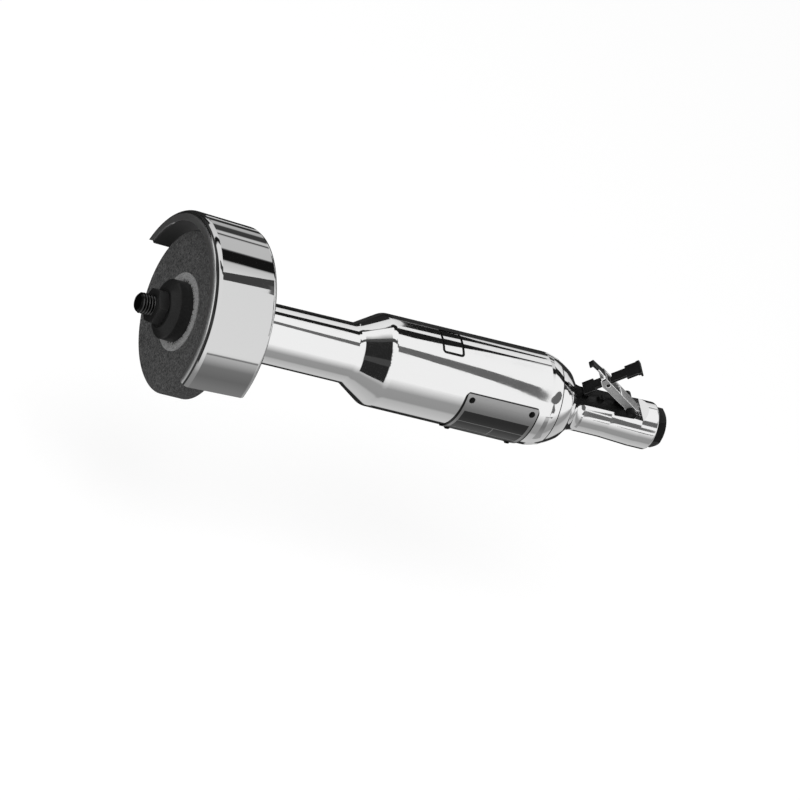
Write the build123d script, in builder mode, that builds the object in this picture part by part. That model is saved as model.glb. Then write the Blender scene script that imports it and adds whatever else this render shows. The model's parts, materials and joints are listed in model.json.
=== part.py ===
from build123d import *
import os
from math import cos, radians, sin, sqrt, tan

os.makedirs("parts", exist_ok=True)

# A straight air grinder, in millimetres. The tool's axis is X. The origin is on the axis where the
# free thread ends, just ahead of the wheel nut, +X runs back to the air inlet and +Z is the throttle
# lever's side.

# Wheel and its clamping
wheel_d = 125.0
wheel_t = 20.0
wheel_bore_d = 20.0
wheel_edge = 1.0
blotter_d = 60.0
blotter_t = 0.8
blotter_bore_gap = 0.3
thread_d = 16.0
thread_free = 11.0
thread_chamfer = 1.8
thread_runout = 0.5
thread_crest = 0.2
nut_across = 25.0
nut_t = 8.5
nut_chamfer = 1.3
nut_turn = 23.0
flange_d = 46.0
flange_hub_d = 31.0
flange_cone_t = 3.9
flange_rim_t = 10.7
flange_edge = 0.8
flange_relief_d = 34.0
flange_relief = 1.0
flange_bore_gap = 0.2
inner_rim_t = 5.0
inner_hub_t = 8.8
seat_gap = 0.02
seat_lead = 1.0

# Spindle behind the wheel
shoulder_d = 26.0
shoulder_t = 5.0
seal_journal_d = 22.0
hex_across = 13.0
hex_fit = 0.05
hex_gap = 1.0

# Ball bearings, two on the spindle and two on the rotor
spindle_bearing_bore_d = 17.0
spindle_bearing_d = 35.0
spindle_bearing_t = 10.0
spindle_ball_d = 6.0
spindle_ball_count = 9
rotor_bearing_bore_d = 15.0
rotor_bearing_d = 32.0
rotor_bearing_t = 9.0
rotor_ball_d = 5.5
rotor_ball_count = 8
race_gap = 0.2
race_lip = 0.55
cage_wall = 2.0
cage_rim = 1.0
locknut_d = 26.0
locknut_t = 6.0
snap_ring_t = 1.5
snap_ring_reach = 1.0
snap_ring_inner_d = 30.0

# Nose, cone and motor barrel, one polished casting
nose_gap = 10.0
nose_cap_d = 38.0
nose_cap_t = 7.0
nose_cap_bore_d = 25.0
spanner_hole_d = 3.0
spanner_hole_deep = 3.0
felt_d = 31.0
felt_t = 4.0
felt_gap = 0.1
tube_d = 46.4
tube_len = 99.5
tube_bore_d = 30.0
bearing_span = 72.0
cone_angle = 30.0
cone_blend = 9.0
barrel_d = 71.1
barrel_len = 144.4
barrel_round = 10.0
barrel_wall = 5.3
seam_drop = 1.75
motor_ledge = 8.25
chamber_lead = 6.5
pad_len = 18.8
pad_width = 24.8
pad_deep = 0.8
pad_corner = 3.0
pad_frame = 2.0
pad_start = 40.0
exhaust_d = 5.0
exhaust_rows = (230.0, 250.0)
exhaust_count = 5
exhaust_pitch = 14.0

# Air motor
motor_fit = 0.05
motor_start = 5.7
plate_web = 2.0
plate_shaft_gap = 1.5
cylinder_len = 80.0
cylinder_wall = 4.7
cylinder_offset = 3.2
rotor_gap = 0.3
rotor_end_gap = 0.15
vane_count = 5
vane_t = 2.8
vane_height = 10.0
vane_slot_gap = 0.1
vane_inset = 0.6
dowel_d = 4.0
dowel_end = 1.0
coupling_d = 22.0
coupling_gap = 4.5
port_d = 4.5

# Wheel guard, cut away below the axis
guard_front_gap = 11.4
guard_len = 54.7
guard_front_d = 152.6
guard_draft = 2.3
guard_lip_reach = 8.9
guard_wall = 2.6
guard_plate_t = 3.0
guard_round = 6.0
guard_rear_round = 4.0
guard_half_angle = 93.0
guard_lip_run = 7.0
guard_fit = 0.05
collar_wall = 5.2
collar_len = 13.0
collar_split = 3.0
lug_t = 8.0
lug_drop = 13.0
lug_inset = 1.5
clamp_screw_d = 6.0
clamp_head_d = 10.0
clamp_head_t = 6.0
clamp_socket = 5.0
clamp_nut_across = 10.0
clamp_nut_t = 5.0
clamp_tail = 1.0

# Throttle handle
gasket_t = 0.8
seam_step = 0.2
dome_len = 12.3
dome_drop = 6.4
dome_bulge = 0.4
dome_blend = 6.0
slope_len = 5.3
slope_drop = 5.8
neck_len = 10.5
grip_d = 33.5
grip_len = 22.7
boss_step = 25.2
boss_d = 36.2
boss_len = 14.3
boss_edge = 1.8
spigot_fit = 0.1
spigot_wall = 6.15
chest_end = 5.3
passage_d = 7.6
passage_z = 3.5

# Air inlet
bushing_across = 27.0
bushing_hex_t = 8.0
bushing_spigot_d = 22.0
bushing_spigot_len = 14.0
bushing_fit = 0.05
bushing_edge = 1.2
inlet_minor_d = 14.95
inlet_chamfer = 1.0
screen_t = 1.5
screen_hole_d = 2.0
screen_pitch = 3.6

# Flat on the handle and the black lever bracket
flat_depth = 3.1
flat_start = 16.3
flat_len = 60.5
pocket_deep = 2.0
pocket_len = 14.5
pocket_end = 0.5
pocket_width = 13.6
strip_t = 1.2
strip_width = 14.8
strip_tail = 3.6
stop_len = 8.1
stop_top = 2.6
stop_width = 6.4
stop_height = 5.9
stop_edge = 0.8
wing_straight = 3.0
wing_reach = 13.2
far_rail_start = 16.6
ear_gap = 0.35
ear_t = 3.2
ear_r = 3.6
ear_pad_t = 2.05
ear_pad_len = 16.1
rail_height = 1.6
rail_lead = 12.0
bracket_screw_d = 3.0
bracket_screw_head_d = 5.5
bracket_screw_head_t = 2.0
bracket_screw_deep = 5.0
bracket_screw_slot = 0.8
bracket_screw_places = (12.5, 25.5)

# Throttle lever, a pressed steel channel
pivot_back = 11.55
pivot_height = 1.85
lever_tilt = 31.2
lever_width = 12.0
lever_wall = 1.6
lever_top = 3.9
lever_rear = 9.5
lever_tip = 57.5
lever_tip_width = 5.6
lever_lip = 4.5
tongue_width = 8.4
cheek_front = 41.1
cheek_drop = 3.1
cheek_mid = 26.0
cheek_mid_drop = 2.5
foot_t = 2.2
foot_start = 3.2
foot_width = 4.6
foot_drop = 1.0
cheek_bevel = 6.0
cheek_rise = 5.0
cheek_rise_drop = 2.0
heel_drop = 2.9
heel_front = 2.0
tongue_drop = 0.9
lever_pin_d = 3.5
pin_run = 0.05
lever_pin_end = 1.75

# Lock-off lever, which folds through a slot in the throttle lever
lock_along = 34.0
lock_above = 1.4
lock_tilt = 48.4
lock_width = 8.2
lock_t = 2.2
lock_hub_r = 2.7
lock_toe = 19.0
lock_tab = 27.3
lock_tab_width = 13.4
lock_tab_len = 3.0
lock_arm_width = 12.2
lock_waist_front = 9.8
lock_waist_rear = 15.2
lock_lip = 2.0
lock_pin_d = 3.0
lock_notch = 3.1
lock_notch_len = 8.4
slot_rear = 16.5
slot_front = 3.6
coil_r = 2.2
coil_wire_d = 0.6
coil_pitch = 0.8
coil_turns = 2.5

# Throttle plunger and valve
plunger_ahead = 8.95
plunger_d = 5.0
plunger_tip_gap = 0.4
plunger_fit = 0.05
plunger_bushing_d = 9.2
plunger_bushing_len = 5.0
oring_wire_d = 1.6
oring_fit = 0.06
valve_bore_d = 15.0
seat_top = 2.0
seat_t = 3.0
seat_bore_d = 8.4
upper_bore_d = 10.0
valve_d = 11.6
valve_t = 3.2
valve_stem_d = 3.6
valve_stem_len = 4.0
valve_touch_gap = 0.05
inlet_drop = 5.5
inlet_passage_d = 10.0
spring_wire_d = 0.8
spring_d = 8.0
spring_turns = 3.5
spring_len = 7.4
spring_pilot = 0.05
plug_inset = 1.2
plug_slot = 1.6

# Name plate
plate_len = 62.2
plate_arc = 83.0
plate_t = 0.8
plate_seat = 0.03
plate_turn = 101.5
plate_back = 16.2
plate_corner = 4.0
plate_screw_arc = 65.0
plate_screw_span = 51.1
plate_screw_head_d = 5.0
plate_screw_top_d = 3.0
plate_screw_head_t = 1.2
plate_screw_shank_d = 1.8
plate_screw_deep = 4.0

# How near an edge lies to the station that it is picked by
station_tol = 0.05

# Stations along the axis, worked out from the sizes above
x_nut = thread_runout
x_flange = x_nut + nut_t
x_blotter = x_flange + flange_cone_t + flange_rim_t
x_wheel = x_blotter + blotter_t
x_wheel_back = x_wheel + wheel_t
x_inner_flange = x_wheel_back + blotter_t
x_shoulder = x_inner_flange + inner_rim_t + inner_hub_t
x_seal_journal = x_shoulder + shoulder_t
x_nose = x_shoulder + nose_gap
x_front_bearing = x_nose + nose_cap_t
x_locknut = x_front_bearing + spindle_bearing_t
x_mid_bearing = x_locknut + bearing_span
x_snap_ring = x_mid_bearing + spindle_bearing_t
x_cone = x_nose + tube_len
cone_len = (barrel_d - tube_d) / 2 / tan(radians(cone_angle))
x_barrel = x_cone + cone_len
x_seam = x_barrel + barrel_len
x_motor = x_barrel + motor_start
plate_t_motor = rotor_bearing_t + plate_web
x_cylinder = x_motor + plate_t_motor
x_rear_plate = x_cylinder + cylinder_len
x_motor_end = x_rear_plate + plate_t_motor
x_coupling_end = x_motor - hex_gap
x_coupling = x_snap_ring + snap_ring_t + coupling_gap
x_spindle_end = (x_coupling + x_coupling_end - hex_gap) / 2
x_guard = x_wheel - guard_front_gap
x_guard_end = x_guard + guard_len
x_handle = x_seam + gasket_t
x_dome = x_handle + dome_len
x_slope = x_dome + slope_len
x_grip = x_slope + neck_len
x_grip_end = x_grip + grip_len
x_boss = x_grip_end + boss_step
x_handle_end = x_boss + boss_len
x_spigot = x_handle_end - bushing_spigot_len
x_screen = x_spigot - screen_t
x_inlet = x_handle_end + bushing_hex_t
x_flat = x_handle + flat_start
x_flat_end = x_flat + flat_len
x_pivot = x_flat_end - pivot_back
x_plunger = x_pivot - plunger_ahead
barrel_r = barrel_d / 2
motor_bore_r = barrel_r - barrel_wall
motor_r = motor_bore_r - motor_fit
cylinder_bore_r = motor_r - cylinder_wall
rotor_r = cylinder_bore_r - cylinder_offset - rotor_gap
seam_r = barrel_r - seam_drop
shoulder_r = seam_r - seam_step
spigot_r = motor_bore_r - spigot_fit
flat_z = grip_d / 2 - flat_depth
strip_z = flat_z + strip_t
pivot_z = flat_z + pivot_height


# Helpers
def finish(piece, label):
    """Name a finished piece and write it."""
    piece.part.label = label
    export_step(piece.part, f"parts/{label}.step")


def turn(*points, mode=Mode.ADD):
    """Revolve an outline of (x, radius) points about the tool's axis."""
    with BuildSketch(Plane.XZ) as outline:
        with BuildLine():
            Polyline(*points, close=True)
        make_face()
    revolve(outline.sketch, axis=Axis.X, mode=mode)


def tube(x_start, x_end, inner_r, outer_r, mode=Mode.ADD):
    """A plain ring between two stations."""
    turn((x_start, inner_r), (x_end, inner_r), (x_end, outer_r), (x_start, outer_r), mode=mode)


def rod(x_start, x_end, radius, mode=Mode.ADD):
    """A plain round bar on the axis between two stations."""
    tube(x_start, x_end, 0, radius, mode=mode)


def hex_bar(x_start, x_end, across, turned=0.0, mode=Mode.ADD):
    """A hexagonal bar on the axis between two stations."""
    with BuildSketch(Plane.YZ.offset(x_start)) as section:
        RegularPolygon(across / 2, 6, major_radius=False, rotation=turned)
    extrude(section.sketch, amount=x_end - x_start, mode=mode)


def rings_at(piece, *stations):
    """The round edges of a turned piece at some stations along the axis."""
    rings = piece.edges().filter_by(GeomType.CIRCLE)
    return [ring for ring in rings if any(abs(ring.arc_center.X - x) < station_tol for x in stations)]


def radial_plane(x, angle, radius):
    """A plane square to the axis's radius, the angle counted from up towards the name plate."""
    out = (0, -sin(radians(angle)), cos(radians(angle)))
    return Plane(origin=(x, radius * out[1], radius * out[2]), x_dir=(1, 0, 0), z_dir=out)


def ball_bearing(prefix, x_start, bore_d, outer_d, width, ball_d, ball_count):
    """Outer ring, inner ring, balls and cage of one deep-groove bearing."""
    x_mid = x_start + width / 2
    pitch_r = (bore_d + outer_d) / 4
    groove_r = ball_d / 2 + race_gap
    lip = ball_d / 2 * race_lip

    with BuildPart() as outer_ring:
        tube(x_start, x_start + width, pitch_r + lip, outer_d / 2)
        with BuildSketch(Plane.XZ) as groove:
            with Locations((x_mid, pitch_r)):
                Circle(groove_r)
        revolve(groove.sketch, axis=Axis.X, mode=Mode.SUBTRACT)
    finish(outer_ring, f"{prefix}_bearing_outer_ring")

    with BuildPart() as inner_ring:
        tube(x_start, x_start + width, bore_d / 2, pitch_r - lip)
        with BuildSketch(Plane.XZ) as groove:
            with Locations((x_mid, pitch_r)):
                Circle(groove_r)
        revolve(groove.sketch, axis=Axis.X, mode=Mode.SUBTRACT)
    finish(inner_ring, f"{prefix}_bearing_inner_ring")

    with BuildPart(Plane.YZ.offset(x_mid)) as balls:
        with PolarLocations(pitch_r, ball_count):
            Sphere(ball_d / 2)
    finish(balls, f"{prefix}_bearing_balls")

    cage_t = ball_d + 2 * cage_rim
    with BuildPart(Plane.YZ.offset(x_mid)) as cage:
        tube(x_mid - cage_t / 2, x_mid + cage_t / 2, pitch_r - cage_wall / 2, pitch_r + cage_wall / 2)
        with PolarLocations(pitch_r, ball_count):
            Cylinder(groove_r, 4 * cage_wall, rotation=(0, 90, 0), mode=Mode.SUBTRACT)
    finish(cage, f"{prefix}_bearing_cage")


# Spindle: free thread, wheel seat, shoulder, bearing journals and hexagonal tail
thread_r = thread_d / 2
clamped_r = thread_r - thread_crest
with BuildPart() as spindle:
    x_tip = -thread_free
    seat_r = wheel_bore_d / 2 - seat_gap
    journal_r = spindle_bearing_bore_d / 2
    turn(
        (x_tip, 0),
        (x_tip, thread_r - thread_chamfer),
        (x_tip + thread_chamfer, thread_r),
        (0, thread_r),
        (0, clamped_r),
        (x_wheel + seat_lead, clamped_r),
        (x_wheel + seat_lead, seat_r),
        (x_shoulder, seat_r),
        (x_shoulder, shoulder_d / 2),
        (x_seal_journal, shoulder_d / 2),
        (x_seal_journal, seal_journal_d / 2),
        (x_front_bearing, seal_journal_d / 2),
        (x_front_bearing, journal_r),
        (x_snap_ring, journal_r),
        (x_snap_ring, 0),
    )
    hex_bar(x_snap_ring, x_spindle_end, hex_across)
finish(spindle, "spindle")

# Wheel nut, its corners rounded off by a cone at both ends
with BuildPart() as spindle_nut:
    hex_bar(x_nut, x_flange, nut_across, turned=nut_turn)
    face_r = nut_across / 2
    corner_r = face_r + nut_chamfer / tan(radians(30))
    turn(
        (x_nut, 0),
        (x_nut, face_r),
        (x_nut + nut_chamfer, corner_r),
        (x_flange - nut_chamfer, corner_r),
        (x_flange, face_r),
        (x_flange, 0),
        mode=Mode.INTERSECT,
    )
    rod(x_nut, x_flange, clamped_r, mode=Mode.SUBTRACT)
finish(spindle_nut, "spindle_nut")

# Outer flange: a hub under the nut, a cone and a broad rim, relieved behind
with BuildPart() as outer_flange:
    bore_r = thread_r + flange_bore_gap
    rim_r = flange_d / 2
    turn(
        (x_flange, bore_r),
        (x_flange, flange_hub_d / 2),
        (x_flange + flange_cone_t, rim_r - flange_edge),
        (x_flange + flange_cone_t + flange_edge, rim_r),
        (x_blotter, rim_r),
        (x_blotter, flange_relief_d / 2),
        (x_blotter - flange_relief, flange_relief_d / 2),
        (x_blotter - flange_relief, bore_r),
    )
finish(outer_flange, "outer_flange")

# Paper blotters on both faces of the wheel
blotter_bore_r = wheel_bore_d / 2 + blotter_bore_gap
with BuildPart() as outer_blotter:
    tube(x_blotter, x_wheel, blotter_bore_r, blotter_d / 2)
finish(outer_blotter, "outer_blotter")

with BuildPart() as inner_blotter:
    tube(x_wheel_back, x_inner_flange, blotter_bore_r, blotter_d / 2)
finish(inner_blotter, "inner_blotter")

# Grinding wheel
with BuildPart() as grinding_wheel:
    wheel_r = wheel_d / 2
    turn(
        (x_wheel, wheel_bore_d / 2),
        (x_wheel, wheel_r - wheel_edge),
        (x_wheel + wheel_edge, wheel_r),
        (x_wheel_back - wheel_edge, wheel_r),
        (x_wheel_back, wheel_r - wheel_edge),
        (x_wheel_back, wheel_bore_d / 2),
    )
finish(grinding_wheel, "grinding_wheel")

# Inner flange against the spindle's shoulder
with BuildPart() as inner_flange:
    bore_r = wheel_bore_d / 2 - seat_gap
    turn(
        (x_inner_flange + flange_relief, bore_r),
        (x_inner_flange + flange_relief, flange_relief_d / 2),
        (x_inner_flange, flange_relief_d / 2),
        (x_inner_flange, flange_d / 2),
        (x_inner_flange + inner_rim_t, flange_d / 2),
        (x_shoulder, flange_hub_d / 2),
        (x_shoulder, bore_r),
    )
finish(inner_flange, "inner_flange")

# Four bearings
for prefix, x_start in (("front", x_front_bearing), ("mid", x_mid_bearing)):
    ball_bearing(
        prefix,
        x_start,
        spindle_bearing_bore_d,
        spindle_bearing_d,
        spindle_bearing_t,
        spindle_ball_d,
        spindle_ball_count,
    )
for prefix, x_start in (("rotor_front", x_motor), ("rotor_rear", x_rear_plate + plate_web)):
    ball_bearing(
        prefix,
        x_start,
        rotor_bearing_bore_d,
        rotor_bearing_d,
        rotor_bearing_t,
        rotor_ball_d,
        rotor_ball_count,
    )

# Lock nut behind the front bearing
with BuildPart() as bearing_locknut:
    hex_bar(x_locknut, x_locknut + locknut_t, locknut_d)
    rod(x_locknut, x_locknut + locknut_t, spindle_bearing_bore_d / 2, mode=Mode.SUBTRACT)
    clear_r = spindle_bearing_bore_d / 4 + spindle_bearing_d / 4 - spindle_ball_d / 2 * race_lip
    tube(x_locknut, x_locknut + locknut_t, clear_r, locknut_d, mode=Mode.SUBTRACT)
finish(bearing_locknut, "bearing_locknut")

# Snap ring that holds the mid bearing, open at the bottom
with BuildPart() as bearing_snap_ring:
    groove_r = spindle_bearing_d / 2 + snap_ring_reach
    tube(x_snap_ring, x_snap_ring + snap_ring_t, snap_ring_inner_d / 2, groove_r)
    with Locations((x_snap_ring + snap_ring_t / 2, 0, -groove_r)):
        Box(2 * snap_ring_t, snap_ring_inner_d / 3, groove_r, mode=Mode.SUBTRACT)
finish(bearing_snap_ring, "bearing_snap_ring")

# Nose cap with its spanner holes, and the felt seal that it holds
felt_start = x_nose + (nose_cap_t - felt_t) / 2
with BuildPart() as nose_cap:
    tube(x_nose, x_front_bearing, nose_cap_bore_d / 2, nose_cap_d / 2)
    tube(felt_start, felt_start + felt_t, nose_cap_bore_d / 2, felt_d / 2, mode=Mode.SUBTRACT)
    with Locations(Plane.YZ.offset(x_nose)):
        with PolarLocations((felt_d + nose_cap_d) / 4, 2):
            Cylinder(spanner_hole_d / 2, 2 * spanner_hole_deep, mode=Mode.SUBTRACT)
finish(nose_cap, "nose_cap")

with BuildPart() as dust_seal:
    tube(felt_start, felt_start + felt_t, seal_journal_d / 2 + felt_gap, felt_d / 2)
finish(dust_seal, "dust_seal")

# The frame sunk round a bare field on top of the barrel, as the space that is cut away
x_pad = x_barrel + pad_start
with BuildPart() as pad_space:
    tube(x_pad, x_pad + pad_len, barrel_r - pad_deep, barrel_d)
    with BuildSketch(radial_plane(x_pad + pad_len / 2, 0, 0)) as pad_view:
        RectangleRounded(pad_len, pad_width, pad_corner)
    extrude(pad_view.sketch, amount=barrel_d, mode=Mode.INTERSECT)
    with BuildSketch(radial_plane(x_pad + pad_len / 2, 0, 0)) as field_view:
        RectangleRounded(pad_len - 2 * pad_frame, pad_width - 2 * pad_frame, pad_corner - pad_frame)
    extrude(field_view.sketch, amount=barrel_d, mode=Mode.SUBTRACT)

# Motor housing: nose tube, cone and barrel
with BuildPart() as motor_housing:
    tube_r = tube_d / 2
    round_r = (barrel_round**2 + seam_drop**2) / (2 * seam_drop)
    with BuildSketch(Plane.XZ):
        with BuildLine():
            Polyline(
                (x_seam, seam_r),
                (x_seam, 0),
                (x_nose, 0),
                (x_nose, tube_r),
                (x_cone, tube_r),
                (x_barrel, barrel_r),
                (x_seam - barrel_round, barrel_r),
            )
            RadiusArc((x_seam - barrel_round, barrel_r), (x_seam, seam_r), round_r)
        make_face()
    revolve(axis=Axis.X)
    fillet(rings_at(motor_housing, x_cone, x_barrel), cone_blend)
    bearing_r = spindle_bearing_d / 2
    groove_r = bearing_r + snap_ring_reach
    x_chamber = x_snap_ring + snap_ring_t + chamber_lead
    turn(
        (x_nose, 0),
        (x_nose, nose_cap_d / 2),
        (x_front_bearing, nose_cap_d / 2),
        (x_front_bearing, bearing_r),
        (x_locknut, bearing_r),
        (x_locknut, tube_bore_d / 2),
        (x_mid_bearing, tube_bore_d / 2),
        (x_mid_bearing, bearing_r),
        (x_snap_ring, bearing_r),
        (x_snap_ring, groove_r),
        (x_snap_ring + snap_ring_t, groove_r),
        (x_snap_ring + snap_ring_t, bearing_r),
        (x_chamber, bearing_r),
        (x_chamber, motor_bore_r - motor_ledge),
        (x_motor, motor_bore_r - motor_ledge),
        (x_motor, motor_bore_r),
        (x_seam, motor_bore_r),
        (x_seam, 0),
        mode=Mode.SUBTRACT,
    )
    add(pad_space.part, mode=Mode.SUBTRACT)
    # Exhaust holes on the side away from the name plate
    for angle in exhaust_rows:
        for step in range(exhaust_count):
            with Locations(radial_plane(x_cylinder + (step + 1) * exhaust_pitch, angle, barrel_r)):
                Cylinder(exhaust_d / 2, 4 * barrel_wall, mode=Mode.SUBTRACT)
    # Holes for the name plate's drive screws
    plate_mid = x_seam - plate_back - plate_len / 2
    plate_places = [
        (plate_mid + along * plate_screw_span / 2, plate_turn + around * plate_screw_arc / 2)
        for along in (-1, 1)
        for around in (-1, 1)
    ]
    for x, angle in plate_places:
        with Locations(radial_plane(x, angle, barrel_r)):
            Cylinder(plate_screw_shank_d / 2, 2 * plate_screw_deep, mode=Mode.SUBTRACT)
finish(motor_housing, "motor_housing")

# End plates of the motor, each with its bearing pocket and the dowel hole
shaft_hole_r = rotor_bearing_bore_d / 2 + plate_shaft_gap
dowel_r = (motor_r + cylinder_bore_r - cylinder_offset) / 2
x_dowel = x_motor + dowel_end
x_dowel_end = x_motor_end - dowel_end

with BuildPart() as front_end_plate:
    rod(x_motor, x_cylinder, motor_r)
    rod(x_motor, x_cylinder - plate_web, rotor_bearing_d / 2, mode=Mode.SUBTRACT)
    rod(x_motor, x_cylinder, shaft_hole_r, mode=Mode.SUBTRACT)
    with Locations(((x_dowel + x_dowel_end) / 2, 0, -dowel_r)):
        Cylinder(dowel_d / 2, x_dowel_end - x_dowel, rotation=(0, 90, 0), mode=Mode.SUBTRACT)
finish(front_end_plate, "front_end_plate")

with BuildPart() as rear_end_plate:
    rod(x_rear_plate, x_motor_end, motor_r)
    rod(x_rear_plate + plate_web, x_motor_end, rotor_bearing_d / 2, mode=Mode.SUBTRACT)
    rod(x_rear_plate, x_motor_end, shaft_hole_r, mode=Mode.SUBTRACT)
    with Locations(((x_dowel + x_dowel_end) / 2, 0, -dowel_r)):
        Cylinder(dowel_d / 2, x_dowel_end - x_dowel, rotation=(0, 90, 0), mode=Mode.SUBTRACT)
    port_r = rotor_bearing_d / 4 + rotor_r / 2
    with Locations(Plane.YZ.offset(x_rear_plate + plate_t_motor / 2)):
        with PolarLocations(port_r, 3, start_angle=30, angular_range=120, endpoint=True):
            Cylinder(port_d / 2, 2 * plate_t_motor, mode=Mode.SUBTRACT)
finish(rear_end_plate, "rear_end_plate")

# Motor cylinder, bored off centre
with BuildPart() as motor_cylinder:
    rod(x_cylinder, x_rear_plate, motor_r)
    with Locations(((x_cylinder + x_rear_plate) / 2, 0, cylinder_offset)):
        Cylinder(cylinder_bore_r, 2 * cylinder_len, rotation=(0, 90, 0), mode=Mode.SUBTRACT)
    with Locations(((x_dowel + x_dowel_end) / 2, 0, -dowel_r)):
        Cylinder(dowel_d / 2, x_dowel_end - x_dowel, rotation=(0, 90, 0), mode=Mode.SUBTRACT)
    for angle in exhaust_rows:
        for step in range(exhaust_count):
            with Locations(radial_plane(x_cylinder + (step + 1) * exhaust_pitch, angle, motor_r)):
                Cylinder(exhaust_d / 2, motor_r, mode=Mode.SUBTRACT)
finish(motor_cylinder, "motor_cylinder")

with BuildPart() as cylinder_dowel:
    with Locations(((x_dowel + x_dowel_end) / 2, 0, -dowel_r)):
        Cylinder(dowel_d / 2, x_dowel_end - x_dowel, rotation=(0, 90, 0))
finish(cylinder_dowel, "cylinder_dowel")

# Rotor with its vane slots, journals and hexagonal nose
vane_top_r = rotor_r - vane_inset
vane_foot_r = vane_top_r - vane_height
with BuildPart() as rotor:
    rod(x_cylinder + rotor_end_gap, x_rear_plate - rotor_end_gap, rotor_r)
    slot_height = vane_height + vane_inset + 2 * vane_slot_gap
    with Locations(Plane.YZ.offset((x_cylinder + x_rear_plate) / 2)):
        with PolarLocations(rotor_r, vane_count):
            Box(
                2 * slot_height,
                vane_t + 2 * vane_slot_gap,
                2 * cylinder_len,
                mode=Mode.SUBTRACT,
            )
    rod(x_motor, x_motor_end, rotor_bearing_bore_d / 2)
    hex_bar(x_spindle_end + hex_gap, x_motor, hex_across)
finish(rotor, "rotor")

with BuildPart(Plane.YZ.offset((x_cylinder + x_rear_plate) / 2)) as rotor_vanes:
    with PolarLocations((vane_top_r + vane_foot_r) / 2, vane_count):
        Box(vane_height, vane_t, cylinder_len - 4 * rotor_end_gap)
finish(rotor_vanes, "rotor_vanes")

# Coupling sleeve between the spindle and the rotor
with BuildPart() as drive_coupling:
    rod(x_coupling, x_coupling_end, coupling_d / 2)
    hex_bar(x_coupling, x_coupling_end, hex_across + 2 * hex_fit, mode=Mode.SUBTRACT)
finish(drive_coupling, "drive_coupling")

# Wheel guard: lip, drafted band and back plate, open below, on a split clamp collar
lug_z = -(tube_d / 2 + guard_fit + collar_wall + lug_drop / 2)
x_lug = x_guard_end + collar_len / 2
with BuildPart() as wheel_guard:
    front_r = guard_front_d / 2
    rear_r = front_r - guard_draft
    lip_r = front_r - guard_lip_reach
    bore_r = tube_d / 2 + guard_fit
    inner_round = guard_round - guard_wall
    x_bend = x_guard + guard_round
    bend_r = front_r - guard_round
    diagonal = sqrt(0.5)
    with BuildSketch(Plane.XZ.rotated((-guard_half_angle, 0, 0))):
        with BuildLine():
            Line((x_guard, lip_r), (x_guard, bend_r))
            ThreePointArc(
                (x_guard, bend_r),
                (x_bend - guard_round * diagonal, bend_r + guard_round * diagonal),
                (x_bend, front_r),
            )
            Polyline(
                (x_bend, front_r),
                (x_guard_end, rear_r),
                (x_guard_end, bore_r),
                (x_guard_end - guard_plate_t, bore_r),
                (x_guard_end - guard_plate_t, rear_r - guard_wall),
                (x_bend, front_r - guard_wall),
            )
            ThreePointArc(
                (x_bend, front_r - guard_wall),
                (x_bend - inner_round * diagonal, bend_r + inner_round * diagonal),
                (x_guard + guard_wall, bend_r),
            )
            Polyline((x_guard + guard_wall, bend_r), (x_guard + guard_wall, lip_r), (x_guard, lip_r))
        make_face()
    revolve(axis=Axis.X, revolution_arc=2 * guard_half_angle)
    rear_rim = wheel_guard.edges().filter_by(GeomType.CIRCLE).group_by(Axis.X)[-1].sort_by(SortBy.RADIUS)[-1]
    fillet(rear_rim, guard_rear_round)
    # The lip runs out at the far end
    end_turn = radians(guard_half_angle)
    run_turn = radians(guard_half_angle - guard_lip_run)
    foot_z = front_r * cos(end_turn) - guard_lip_reach
    with BuildSketch(Plane.YZ.offset(x_guard)):
        with BuildLine():
            Polyline(
                (front_r * sin(end_turn), front_r * cos(end_turn)),
                (lip_r * sin(run_turn), lip_r * cos(run_turn)),
                (lip_r * sin(run_turn) - guard_lip_reach, lip_r * cos(run_turn)),
                (lip_r * sin(run_turn) - guard_lip_reach, foot_z),
                (front_r * sin(end_turn), foot_z),
                close=True,
            )
        make_face()
    extrude(amount=guard_round, mode=Mode.SUBTRACT)
    tube(x_guard_end - guard_plate_t, x_guard_end + collar_len, bore_r, bore_r + collar_wall)
    with Locations((x_lug, 0, lug_z + collar_wall / 2)):
        Box(collar_len - 2 * lug_inset, collar_split + 2 * lug_t, lug_drop + collar_wall)
    rod(x_guard_end - guard_plate_t, x_guard_end + collar_len, bore_r, mode=Mode.SUBTRACT)
    with Locations((x_lug, 0, lug_z)):
        Box(2 * collar_len, collar_split, 3 * lug_drop, mode=Mode.SUBTRACT)
        Cylinder(clamp_screw_d / 2, 4 * lug_t, rotation=(90, 0, 0), mode=Mode.SUBTRACT)
finish(wheel_guard, "wheel_guard")

# Clamp screw through the collar's lugs, and its nut
lug_face = collar_split / 2 + lug_t
with BuildPart(Plane.XZ.offset(lug_face)) as guard_clamp_screw:
    with Locations((x_lug, lug_z, 0)):
        Cylinder(clamp_head_d / 2, clamp_head_t, align=(Align.CENTER, Align.CENTER, Align.MIN))
        Cylinder(
            clamp_screw_d / 2,
            2 * lug_face + clamp_nut_t + clamp_tail,
            align=(Align.CENTER, Align.CENTER, Align.MAX),
        )
    with BuildSketch(Plane.XZ.offset(lug_face + clamp_head_t)):
        with Locations((x_lug, lug_z)):
            RegularPolygon(clamp_socket / 2, 6, major_radius=False)
    extrude(amount=-clamp_head_t / 2, mode=Mode.SUBTRACT)
finish(guard_clamp_screw, "guard_clamp_screw")

with BuildPart() as guard_clamp_nut:
    with BuildSketch(Plane.XZ.offset(-lug_face)):
        with Locations((x_lug, lug_z)):
            RegularPolygon(clamp_nut_across / 2, 6, major_radius=False)
            Circle(clamp_screw_d / 2, mode=Mode.SUBTRACT)
    extrude(amount=-clamp_nut_t)
finish(guard_clamp_nut, "guard_clamp_nut")

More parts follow.
